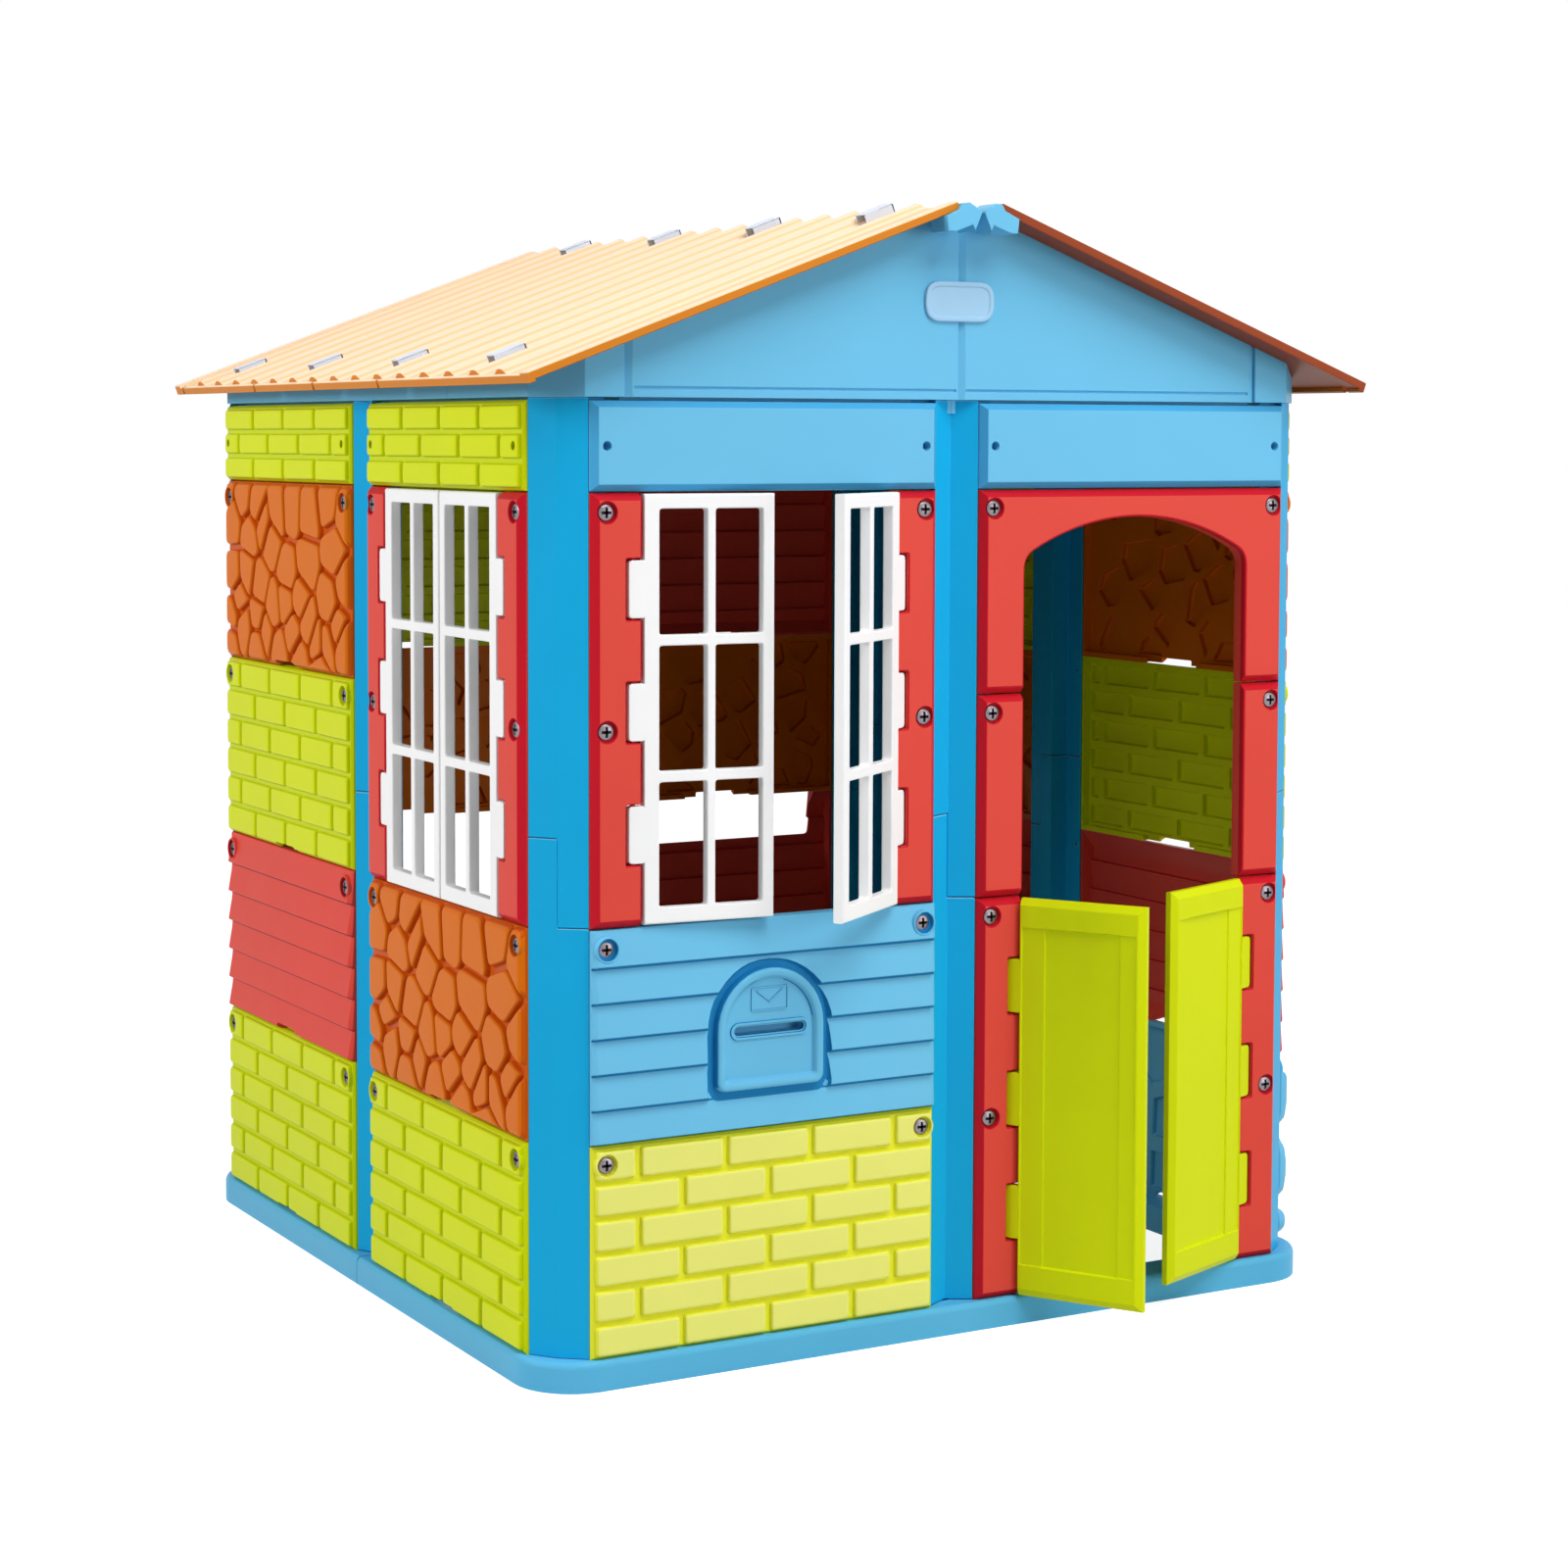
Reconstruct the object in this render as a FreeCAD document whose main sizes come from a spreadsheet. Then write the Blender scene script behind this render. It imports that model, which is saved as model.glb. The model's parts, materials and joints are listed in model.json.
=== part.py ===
import FreeCAD, Part
import os
import re
import Sketcher
from FreeCAD import Placement, Rotation, Vector

os.makedirs("parts", exist_ok=True)
doc = FreeCAD.newDocument("Playhouse")

# Driving sizes, in millimetres unless the name says otherwise.
sizes = {
    "corner_gap": 54,              # from a wall's end to its first panel
    "base_height": 35,
    "base_spread": 17,             # how far the base stands out from the walls
    "rail_width": 60,
    "base_radius": 40,
    "row_pitch": 248,              # one stacked panel, gap included
    "panel_gap": 2,
    "top_row_height": 102,
    "beam_gap": 4,                 # top row to the eave beams and gables
    "panel_width": 460,
    "post_gap": 62,                # between the two bays of a wall
    "rim_depth": 14,
    "skin": 3,
    "side_rim": 30,
    "gap_width": 67,               # a notch in the lower edge of each tall panel
    "gap_height": 7,
    "edge_rim": 6,
    "relief": 8,                   # raised face of every panel, jamb and leaf
    "relief_margin": 1,
    "bevel": 4,
    "edge_bevel": 8,
    "mortar": 6,
    "rock_relief": 16,
    "rock_bevel": 18,
    "screw_inset": 18,
    "screw_drop": 22,
    "screw_head": 13,
    "screw_recess": 18,
    "recess_depth": 3,
    "screw_shank": 5,
    "shank_clearance": 0.3,
    "screw_length": 28,
    "bare_hole": 10,
    "groove_depth": 18,            # hollow face of a middle post
    "post_fit": 0.5,
    "flange_width": 26,
    "flange_thickness": 3,
    "post_width": 50,
    "post_depth": 45,
    "post_wall": 3,
    "nose": 24,                    # vertical edge of a corner post, from each wall's face
    "low_seam": 496,
    "high_seam": 598,
    "jamb_width": 62,
    "notch_depth": 20,
    "notch_height": 70,
    "tab_height": 66,
    "tab_first": 105,
    "tab_pitch": 140,
    "leaf_thickness": 14,
    "hinge_inset": 9,
    "hinge_pin": 6,
    "pin_clearance": 0.05,
    "leaf_gap": 3,
    "meeting_gap": 4,
    "leaf_lift": 1.5,
    "leaf_drop": 1,
    "frame_width": 18,             # outer bars of a shutter
    "bar_width": 12,               # inner bars of a shutter
    "left_door_ajar": 58,          # degrees
    "right_door_ajar": 21,
    "left_shutter_ajar": 5,
    "right_shutter_ajar": 36,
    "arch_spring": 164,
    "arch_rise": 48,
    "mail_hollow_width": 168,
    "mail_hollow_floor": 32,
    "mail_plate_width": 143,
    "mail_plate_floor": 46,
    "mail_plate_proud": 10,
    "mail_arch_level": 117,        # where the straight sides turn into the arch
    "mail_slot_width": 95,
    "mail_slot_height": 11,
    "mail_slot_level": 115,
    "pass_width": 340,
    "pass_level": 178,
    "eave_top": 1159,
    "ridge_top": 1366,
    "ridge_gap": 32,               # ridge edge of a sheet, from the middle plane
    "roof_overhang": 45,
    "sheet_thickness": 4,
    "rib_height": 5,
    "rib_width": 38,
    "edge_band": 22,
    "cap_width": 98,
    "cap_length": 275,
    "beam_width": 30,
    "ridge_beam_width": 100,
    "ridge_beam_depth": 26,
    "hook_width": 50,
    "hook_proud": 8,
    "hook_arm": 10,
    "clip_length": 42,
    "clip_width": 25,
    "clip_height": 6,
    "eave_clip_first": 134,
    "eave_clip_pitch": 283,
    "eave_clip_rise": 43,          # eave edge to the clip, along the slope
    "ridge_clip_first": 94,
    "ridge_clip_pitch": 275,
    "ridge_clip_drop": 8,
    "plaque_width": 94,
    "plaque_height": 46,
    "plaque_thickness": 4,
    "plaque_level": 1250,
}
ribs = 15
sheet = doc.addObject("Spreadsheet::Sheet", "Sizes")
for row, (name, amount) in enumerate(sizes.items(), start=1):
    sheet.set(f"A{row}", name)
    sheet.set(f"B{row}", str(amount))
    sheet.setAlias(f"B{row}", name)
doc.recompute()
word = re.compile(r"\b(" + "|".join(sizes) + r")\b")

# Lengths that follow from the driving sizes.
SPAN = "(2*panel_width+post_gap+2*corner_gap)"
HALF = f"({SPAN}/2)"
FRONT = "(base_spread-rail_width/2)"
MIDDLE = f"({FRONT}+{HALF})"
PANEL = "(row_pitch-panel_gap)"
TALL = "(2*row_pitch-panel_gap)"
SEAT = "(base_height+4*row_pitch+top_row_height+beam_gap)"
RUN = f"({HALF}+roof_overhang-ridge_gap)"
RISE = "(ridge_top-eave_top)"
PITCH = f"atan({RISE}/{RUN})"
SLOPE = f"sqrt({RUN}^2+{RISE}^2)"
ROOF = f"({SPAN}+2*roof_overhang)"
BAYS = ("corner_gap", "(corner_gap+panel_width+post_gap)")
LEAF = "((panel_width-2*jamb_width-meeting_gap)/2+hinge_inset)"
LEAF_EDGE = "(hinge_inset+leaf_gap)"
SHANK = "(screw_shank+2*shank_clearance)"


def link(text):
    return word.sub(r"Sizes.\1", str(text))


def value(text):
    return float(sheet.evalExpression(str(text)))


def bind(thing, **amounts):
    for key, text in amounts.items():
        thing.setExpression(key, link(text))


def move(thing, at, turn="0", axis=(0, 0, 1)):
    thing.Placement = Placement(Vector(), Rotation(Vector(*axis), value(turn)))
    for key, text in zip("xyz", at):
        thing.setExpression(f"Placement.Base.{key}", link(text))
    if re.search("[a-z]", str(turn)):
        thing.setExpression("Placement.Rotation.Angle", link(turn))
    return thing


def box(at, size):
    thing = doc.addObject("Part::Box", "Block")
    bind(thing, Length=size[0], Width=size[1], Height=size[2])
    return move(thing, at)


def rod(at, diameter, length, axis="z"):
    thing = doc.addObject("Part::Cylinder", "Rod")
    bind(thing, Radius=f"({diameter})/2", Height=length)
    if axis == "y":
        return move(thing, at, "-90", (1, 0, 0))
    return move(thing, at)


def raised(x, z, width, height, proud, slant, last_slant=None):
    # A block on the panel's face with slanted sides, standing out by "proud".
    last = slant if last_slant is None else last_slant
    thing = doc.addObject("Part::Wedge", "Raised")
    bind(thing, Xmin=f"({x})+({slant})", Xmax=f"({x})+({width})-({last})")
    bind(thing, Zmin=f"({z})+({slant})", Zmax=f"({z})+({height})-({slant})")
    bind(thing, X2min=x, X2max=f"({x})+({width})", Z2min=z, Z2max=f"({z})+({height})")
    bind(thing, Ymin=f"-({proud})", Ymax="0")
    return thing


def prism(plane, loops, length, backwards=False):
    # A padded outline; each loop lists its corners as pairs of sizes.
    body = doc.addObject("PartDesign::Body", "Moulding")
    sketch = body.newObject("Sketcher::SketchObject", "Outline")
    base = next(f for f in body.Origin.OriginFeatures if f.Role == plane)
    sketch.AttachmentSupport = [(base, "")]
    sketch.MapMode = "FlatFace"
    lines, rules, bound = [], [], []
    for loop in loops:
        first = len(lines)
        points = [Vector(value(a), value(b), 0) for a, b in loop]
        for i, point in enumerate(points):
            following = (i + 1) % len(points)
            lines.append(Part.LineSegment(point, points[following]))
            rules.append(Sketcher.Constraint("Coincident", first + i, 2, first + following, 1))
        for i, point in enumerate(points):
            for kind, text, amount in (("DistanceX", loop[i][0], point.x), ("DistanceY", loop[i][1], point.y)):
                bound.append((len(rules), text))
                rules.append(Sketcher.Constraint(kind, first + i, 1, amount))
    sketch.addGeometry(lines, False)
    sketch.addConstraint(rules)
    for index, text in bound:
        sketch.setExpression(f"Constraints[{index}]", link(text))
    pad = body.newObject("PartDesign::Pad", "Length")
    pad.Profile = sketch
    pad.Reversed = backwards
    bind(pad, Length=length)
    return body


def fuse(pieces):
    thing = doc.addObject("Part::MultiFuse", "Joined")
    thing.Shapes = pieces
    return thing


def cut(base, tools):
    thing = doc.addObject("Part::Cut", "Trimmed")
    thing.Base = base
    thing.Tool = tools[0] if len(tools) == 1 else fuse(tools)
    return thing


def mirrored(source):
    thing = doc.addObject("Part::Mirroring", "Opposite")
    thing.Source = source
    thing.Normal = Vector(1, 0, 0)
    return thing


def copy(source, at, turn="0", axis=(0, 0, 1)):
    thing = doc.addObject("App::Link", "Copy")
    thing.LinkedObject = source
    thing.LinkTransform = True
    return move(thing, at, turn, axis)


nodes = []


def node(label, pieces):
    thing = doc.addObject("Part::Compound", label)
    thing.Label = label
    thing.Links = pieces
    nodes.append(thing)


# Each wall: its left end seen from outside, and the turn that faces it outwards.
walls = {
    "front": (f"-{HALF}", FRONT, 0),
    "right": (HALF, FRONT, 90),
    "back": (HALF, f"({FRONT}+{SPAN})", 180),
    "left": (f"-{HALF}", f"({FRONT}+{SPAN})", -90),
}


def on_wall(source, wall, along, up):
    x, y, turn = walls[wall]
    across = {0: 1, 180: -1}.get(turn, 0)
    away = {90: 1, -90: -1}.get(turn, 0)
    at = (f"{x}+{across}*({along})", f"{y}+{away}*({along})", f"base_height+({up})")
    return copy(source, at, str(turn))


def in_bay(source, wall, bay, row):
    return on_wall(source, wall, BAYS[bay], f"{row}*row_pitch")


# Panels: shallow trays with a raised pattern. Outer face at y = 0, inside towards +y.
def screw_cuts(places, levels):
    # A round recess down to the head's seat, and the hole for the shank.
    tools = []
    for along in places:
        for level in levels:
            tools.append(rod((along, "-rock_relief", level), "screw_recess", "rock_relief-relief+recess_depth", "y"))
            tools.append(rod((along, "-relief", level), SHANK, "relief+rim_depth", "y"))
    return tools


ENDS = ("screw_inset", "panel_width-screw_inset")


def tray(height, screwed=True):
    solid = box(("0", "0", "0"), ("panel_width", "rim_depth", height))
    inner = ("panel_width-2*side_rim", "rim_depth", f"({height})-2*edge_rim")
    hollow = box(("side_rim", "skin", "edge_rim"), inner)
    if screwed:
        at = ("(panel_width-gap_width)/2", "-rock_relief-1", "-1")
        gap = box(at, ("gap_width", "rock_relief+rim_depth+2", "gap_height+1"))
        tools = screw_cuts(ENDS, [f"({height})-screw_drop"]) + [gap]
    else:
        middle = f"({height})/2"
        tools = [rod((along, "-relief", middle), "bare_hole", "relief+rim_depth", "y") for along in ENDS]
    return solid, [hollow] + tools


def brick_panel(height, courses, screwed):
    solid, tools = tray(height, screwed)
    course = f"((({height})-2*relief_margin)/{courses})"
    brick = "((panel_width-2*relief_margin)/4)"
    tall = f"({course}-mortar)"
    whole = raised("mortar/2", "mortar/2", f"{brick}-mortar", tall, "relief", "bevel")
    half = raised("mortar/2", "mortar/2", f"{brick}/2-mortar", tall, "relief", "bevel")
    blocks = []
    for number in range(courses):
        up = f"relief_margin+{number}*{course}"
        if number % 2 == 0:
            blocks += [copy(whole, (f"relief_margin+{k}*{brick}", "0", up)) for k in range(4)]
        else:
            blocks += [copy(whole, (f"relief_margin+{k + 0.5}*{brick}", "0", up)) for k in range(3)]
            blocks += [copy(half, (f"relief_margin+{k}*{brick}", "0", up)) for k in (0, 3.5)]
    return cut(fuse([solid] + blocks), tools)


def field_panel(height, proud, slant, screwed):
    solid, tools = tray(height, screwed)
    size = ("panel_width-2*relief_margin", f"({height})-2*relief_margin")
    field = raised("relief_margin", "relief_margin", size[0], size[1], proud, slant)
    edge = f"(edge_rim+{slant})"
    inner = ("panel_width-2*side_rim", proud, f"({height})-2*{edge}")
    deep = box(("side_rim", f"skin-{proud}", edge), inner)
    return cut(fuse([solid, field]), tools + [deep])


def siding(laps=6):
    # Overlapping boards: the lower edge of each one stands out.
    step = f"(({PANEL}-2*relief_margin)/{laps})"
    corners = [("0.5", "relief_margin")]
    for number in range(laps):
        corners.append(("-relief", f"relief_margin+{number}*{step}"))
        corners.append(("-relief*0.65", f"relief_margin+{number + 1}*{step}"))
    corners.append(("0.5", f"relief_margin+{laps}*{step}"))
    boards = prism("YZ_Plane", [corners], "panel_width-2*relief_margin")
    return move(boards, ("relief_margin", "0", "0"))


def siding_panel(extra_cuts, extra_blocks):
    solid, tools = tray(PANEL)
    face = cut(fuse([solid, siding()]), tools + extra_cuts)
    if not extra_blocks:
        return face
    return cut(fuse([face] + extra_blocks), [mail_slot()])


def arched(width, floor, proud):
    # A block with a half-round top, standing out of the panel's face.
    corner = (f"(panel_width-{width})/2", f"-{proud}", floor)
    straight = box(corner, (width, proud, f"mail_arch_level-{floor}"))
    return fuse([straight, rod(("panel_width/2", f"-{proud}", "mail_arch_level"), width, proud, "y")])


def mail_slot():
    at = ("(panel_width-mail_slot_width)/2", "-rim_depth", "mail_slot_level-mail_slot_height/2")
    return box(at, ("mail_slot_width", "2*rim_depth", "mail_slot_height"))


bricks = brick_panel(PANEL, 6, True)
top_bricks = brick_panel("top_row_height", 3, False)
stones = field_panel(PANEL, "relief", "edge_bevel", True)
rocks = field_panel(PANEL, "rock_relief", "rock_bevel", True)
plain_top = field_panel("top_row_height", "relief", "edge_bevel", False)
plain_siding = siding_panel([], [])
mail_hollow = arched("mail_hollow_width", "mail_hollow_floor", "rock_relief")
mail_plate = arched("mail_plate_width", "mail_plate_floor", "mail_plate_proud")
mail_siding = siding_panel([mail_hollow], [mail_plate])
pass_cut = box(
    ("(panel_width-pass_width)/2", "-rock_relief", "pass_level"),
    ("pass_width", "rock_relief+rim_depth+1", "row_pitch"))
pass_siding = siding_panel([pass_cut], [])

# Jambs: the hinge side is towards +x, with notches that the leaf tabs turn in.
TAB_LEVELS = [f"(tab_first+{k}*tab_pitch)" for k in range(3)]
HINGE_DEPTH = "(leaf_thickness/2-relief)"


def jamb_bar(height, levels):
    # A plain upright bar, bevelled on three sides and square towards the opening.
    solid = box(("0", "0", "0"), ("jamb_width", "rim_depth", height))
    face = raised("0", "0", "jamb_width", height, "relief", "edge_bevel", "0")
    return cut(fuse([solid, face]), screw_cuts(["screw_inset"], levels))


def hinge_jamb():
    bar = jamb_bar(TALL, [f"{PANEL}-screw_drop", f"{TALL}-screw_drop"])
    notches = []
    pins = []
    for level in TAB_LEVELS:
        at = ("jamb_width-notch_depth", "-relief-1", f"{level}-notch_height/2")
        notches.append(box(at, ("notch_depth+1", "relief+rim_depth+2", "notch_height")))
        at = ("jamb_width-hinge_inset", HINGE_DEPTH, f"{level}-notch_height/2-1")
        pins.append(rod(at, "hinge_pin", "notch_height+2"))
    return fuse([cut(bar, notches)] + pins)


def arch():
    half = "(panel_width/2-jamb_width)"
    radius = f"(({half}^2+arch_rise^2)/(2*arch_rise))"
    solid = box(("0", "0", "0"), ("panel_width", "rim_depth", PANEL))
    face = raised("0", "0", "panel_width", PANEL, "relief", "edge_bevel")
    centre = ("panel_width/2", "-relief-1", f"arch_spring+arch_rise-{radius}")
    round_top = rod(centre, f"2*{radius}", "relief+rim_depth+2", "y")
    at = ("jamb_width", "-relief-1", "-1")
    sides = box(at, (f"2*{half}", "relief+rim_depth+2", "arch_spring+arch_rise+2"))
    hollow = doc.addObject("Part::MultiCommon", "Archway")
    hollow.Shapes = [round_top, sides]
    return cut(fuse([solid, face]), [hollow] + screw_cuts(ENDS, [f"{PANEL}-screw_drop"]))


LEAF_HEIGHT = f"({TALL}-leaf_lift-leaf_drop)"
LEAF_WIDTH = f"({LEAF}-{LEAF_EDGE})"


def leaf(windows):
    # Turns about the z axis; closed, it runs towards +x.
    at = (LEAF_EDGE, "-leaf_thickness/2", "leaf_lift")
    plate = box(at, (LEAF_WIDTH, "leaf_thickness", LEAF_HEIGHT))
    if windows:
        plate = cut(plate, windows)
    pieces = [plate]
    holes = []
    for level in TAB_LEVELS:
        pieces.append(rod(("0", "0", f"{level}-tab_height/2"), "leaf_thickness", "tab_height"))
        at = ("0", "-leaf_thickness/2", f"{level}-tab_height/2")
        pieces.append(box(at, (f"{LEAF_EDGE}+1", "leaf_thickness", "tab_height")))
        holes.append(rod(("0", "0", f"{level}-tab_height"), "hinge_pin+2*pin_clearance", "2*tab_height"))
    return cut(fuse(pieces), holes)


def lattice():
    # Six open panes, two across and three up.
    wide = f"(({LEAF_WIDTH}-2*frame_width-bar_width)/2)"
    high = f"(({LEAF_HEIGHT}-2*frame_width-2*bar_width)/3)"
    panes = []
    for across in range(2):
        for up in range(3):
            at = (
                f"{LEAF_EDGE}+frame_width+{across}*({wide}+bar_width)", "-leaf_thickness",
                f"leaf_lift+frame_width+{up}*({high}+bar_width)")
            panes.append(box(at, (wide, "2*leaf_thickness", high)))
    return panes


left_jamb = hinge_jamb()
right_jamb = mirrored(left_jamb)
middle_left = jamb_bar(PANEL, [f"{PANEL}-screw_drop"])
middle_right = mirrored(middle_left)
doorway = jamb_bar(TALL, [f"{PANEL}-screw_drop", f"{TALL}-screw_drop"])
doorway_right = mirrored(doorway)
left_leaf = leaf([])
right_leaf = mirrored(left_leaf)
left_shutter = leaf(lattice())
right_shutter = mirrored(left_shutter)

node("front_brick_panel", [in_bay(bricks, "front", 0, 0)])
node("mailbox_panel", [in_bay(mail_siding, "front", 0, 1)])
node("front_top_panel_left", [in_bay(plain_top, "front", 0, 4)])
node("front_top_panel_right", [in_bay(plain_top, "front", 1, 4)])
node("door_arch", [in_bay(arch(), "front", 1, 3)])


def far_side(source, wall, bay, row):
    return on_wall(source, wall, f"{BAYS[bay]}+panel_width", f"{row}*row_pitch")


node("window_jamb_left", [in_bay(left_jamb, "front", 0, 2)])
node("window_jamb_right", [far_side(right_jamb, "front", 0, 2)])
node("door_jamb_left", [in_bay(left_jamb, "front", 1, 0)])
node("door_jamb_right", [far_side(right_jamb, "front", 1, 0)])
node("middle_jambs", [in_bay(middle_left, "front", 1, 2), far_side(middle_right, "front", 1, 2)])
node("side_jamb_back", [in_bay(left_jamb, "left", 1, 2)])
node("side_jamb_front", [far_side(right_jamb, "left", 1, 2)])
node("back_jambs", [in_bay(doorway, "back", 1, 0), far_side(doorway_right, "back", 1, 0)])

node("left_back_brick_lower", [in_bay(bricks, "left", 0, 0)])
node("left_back_siding", [in_bay(plain_siding, "left", 0, 1)])
node("left_back_brick_upper", [in_bay(bricks, "left", 0, 2)])
node("left_back_stone", [in_bay(stones, "left", 0, 3)])
node("left_front_brick", [in_bay(bricks, "left", 1, 0)])
node("left_front_stone", [in_bay(stones, "left", 1, 1)])
node("left_top_bricks", [in_bay(top_bricks, "left", bay, 4) for bay in (0, 1)])

node("right_front_rock", [in_bay(rocks, "right", 0, 0)])
node("right_front_siding", [in_bay(plain_siding, "right", 0, 1)])
node("right_front_brick", [in_bay(bricks, "right", 0, 2)])
node("right_front_stone", [in_bay(stones, "right", 0, 3)])
node("right_back_brick_lower", [in_bay(bricks, "right", 1, 0)])
node("right_back_siding", [in_bay(plain_siding, "right", 1, 1)])
node("right_back_stone", [in_bay(stones, "right", 1, 2)])
node("right_back_brick_upper", [in_bay(bricks, "right", 1, 3)])
node("right_top_bricks", [in_bay(top_bricks, "right", bay, 4) for bay in (0, 1)])

node("back_brick_lower", [in_bay(bricks, "back", 0, 0)])
node("back_pass_siding", [in_bay(pass_siding, "back", 0, 1)])
node("back_stone_right", [in_bay(stones, "back", 0, 2)])
node("back_siding_upper", [in_bay(plain_siding, "back", 0, 3)])
node("back_stone_left", [in_bay(stones, "back", 1, 2)])
node("back_brick_upper", [in_bay(bricks, "back", 1, 3)])
node("back_top_bricks", [in_bay(top_bricks, "back", bay, 4) for bay in (0, 1)])

# Leaves and shutters, each at its own resting angle.
near_hinge = "(jamb_width-hinge_inset)"
far_hinge = f"(panel_width-{near_hinge})"
depth = HINGE_DEPTH
front_left_bay = f"(-{HALF}+{BAYS[0]})"
front_right_bay = f"(-{HALF}+{BAYS[1]})"
hinge_y = f"{FRONT}+{depth}"
upper = "base_height+2*row_pitch"
node("door_leaf_left", [copy(
    left_leaf, (f"{front_right_bay}+{near_hinge}", hinge_y, "base_height"), "-left_door_ajar")])
node("door_leaf_right", [copy(
    right_leaf, (f"{front_right_bay}+{far_hinge}", hinge_y, "base_height"), "right_door_ajar")])
node("front_shutter_left", [copy(
    left_shutter, (f"{front_left_bay}+{near_hinge}", hinge_y, upper), "-left_shutter_ajar")])
node("front_shutter_right", [copy(
    right_shutter, (f"{front_left_bay}+{far_hinge}", hinge_y, upper), "right_shutter_ajar")])
side_back = f"{FRONT}+{SPAN}-({BAYS[1]}+{near_hinge})"
side_front = f"{FRONT}+{SPAN}-({BAYS[1]}+{far_hinge})"
node("side_shutter_back", [copy(left_shutter, (f"-{HALF}+{depth}", side_back, upper), "-90")])
node("side_shutter_front", [copy(right_shutter, (f"-{HALF}+{depth}", side_front, upper), "-90")])

# Posts: a lower and an upper half that meet in a step, left side of the face higher.
POST_TOP = f"({SEAT}-base_height)"
ROW_SCREWS = [f"({k + 1}*row_pitch-panel_gap-screw_drop)" for k in range(4)]


def post_halves(outline, hollow, side_holes):
    lower = prism("XY_Plane", [outline, hollow], "high_seam")
    upper_half = move(prism("XY_Plane", [outline, hollow], f"{POST_TOP}-low_seam"), ("0", "0", "low_seam"))
    right = box(("0", "-50", "low_seam"), ("200", "300", "high_seam-low_seam+1"))
    left = box(("-200", "-50", "low_seam-1"), ("200", "300", "high_seam-low_seam+1"))
    low = cut(lower, [right] + side_holes(ROW_SCREWS[:2]))
    high = cut(upper_half, [left] + side_holes(ROW_SCREWS[2:]))
    return low, high


edge = "(post_gap/2-post_fit)"
flange = "(post_gap/2+flange_width)"
behind = "(rim_depth+flange_thickness)"
right_side = [
    (edge, "1.5"), (edge, "rim_depth"), (flange, "rim_depth"), (flange, behind),
    ("post_width/2", behind), ("post_width/2", "post_depth")]
left_side = [(f"-{a}", b) for a, b in reversed(right_side)]
inner = "(post_width/2-post_wall)"
inner_back = "(post_depth-post_wall)"
inner_front = "(groove_depth+post_wall)"
middle_hollow = [
    (f"-{inner}", inner_front), (inner, inner_front), (inner, inner_back), (f"-{inner}", inner_back)]


def middle_holes(levels):
    across = "(post_gap/2+screw_inset)"
    return [rod((f"{sign}{across}", "rim_depth-1", level), SHANK, "flange_thickness+2", "y")
            for sign in ("", "-") for level in levels]


middle_low, middle_high = post_halves([("0", "groove_depth")] + right_side + left_side, middle_hollow, middle_holes)


def turned(along, deep, side=1):
    # A point given along and into one wall, in axes that follow the corner's diagonal.
    return (f"{side}*(({along})-({deep}))/sqrt(2)", f"(({along})+({deep}))/sqrt(2)")


corner_side = [
    ("(corner_gap-post_fit)", "1.5"), ("(corner_gap-post_fit)", "rim_depth"),
    ("(corner_gap+flange_width)", "rim_depth"), ("(corner_gap+flange_width)", behind), ("post_width", behind)]
corner_outline = [turned("nose", "nose")] + [turned(a, b) for a, b in corner_side]
corner_outline += [turned("post_width", "post_width")]
corner_outline += [turned(a, b, -1) for a, b in reversed(corner_side)]
inside = "(post_width-post_wall)"
corner_hollow = [
    turned(inside, behind), turned(inside, inside), turned(inside, behind, -1), turned("nose+5", "nose+5")]


def corner_holes(levels):
    holes = []
    for side in (1, -1):
        x, y = turned("corner_gap+screw_inset", "rim_depth-1", side)
        for level in levels:
            hole = doc.addObject("Part::Cylinder", "Rod")
            bind(hole, Radius=f"{SHANK}/2", Height="flange_thickness+2")
            spin = Rotation(Vector(0, 0, 1), 45 * side) * Rotation(Vector(1, 0, 0), -90)
            hole.Placement = Placement(Vector(), spin)
            for key, text in zip("xyz", (x, y, level)):
                hole.setExpression(f"Placement.Base.{key}", link(text))
            holes.append(hole)
    return holes


corner_low, corner_high = post_halves(corner_outline, corner_hollow, corner_holes)
corners = []
for wall, (x, y, turn) in walls.items():
    corners.append(((x, y, "base_height"), str(turn - 45)))
node("corner_posts_lower", [copy(corner_low, at, turn) for at, turn in corners])
node("corner_posts_upper", [copy(corner_high, at, turn) for at, turn in corners])
node("middle_posts_lower", [on_wall(middle_low, wall, HALF, "0") for wall in walls])
node("middle_posts_upper", [on_wall(middle_high, wall, HALF, "0") for wall in walls])

# Base frame: two U-shaped rails, the front one carries the origin.
outer = f"({HALF}+base_spread)"
inner_rail = f"({outer}-rail_width)"
round_corner = [
    (f"{outer}-base_radius*(1-cos({k * 22.5}))", f"-{outer}+base_radius*(1-sin({k * 22.5}))") for k in range(5)]
half_base = [(outer, "0")] + round_corner
half_base += [(f"-({a})", b) for a, b in reversed(round_corner)]
half_base += [
    (f"-{outer}", "0"), (f"-{inner_rail}", "0"), (f"-{inner_rail}", f"-{inner_rail}"),
    (inner_rail, f"-{inner_rail}"), (inner_rail, "0")]
rails = prism("XY_Plane", [half_base], "base_height")
node("base_front", [copy(rails, ("0", MIDDLE, "0"))])
node("base_back", [copy(rails, ("0", MIDDLE, "0"), "180")])


# Roof pieces are drawn about the house's middle and then turned into place.
def under(x):
    return f"(ridge_top-(({x})-ridge_gap)*{RISE}/{RUN}-(sheet_thickness+rib_height)/cos({PITCH}))"


def right_front(corners, length):
    # An upright piece of the front gable, its outer face flush with the wall.
    return move(prism("XZ_Plane", [corners], length, True), ("0", f"-{HALF}", "0"))


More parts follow.
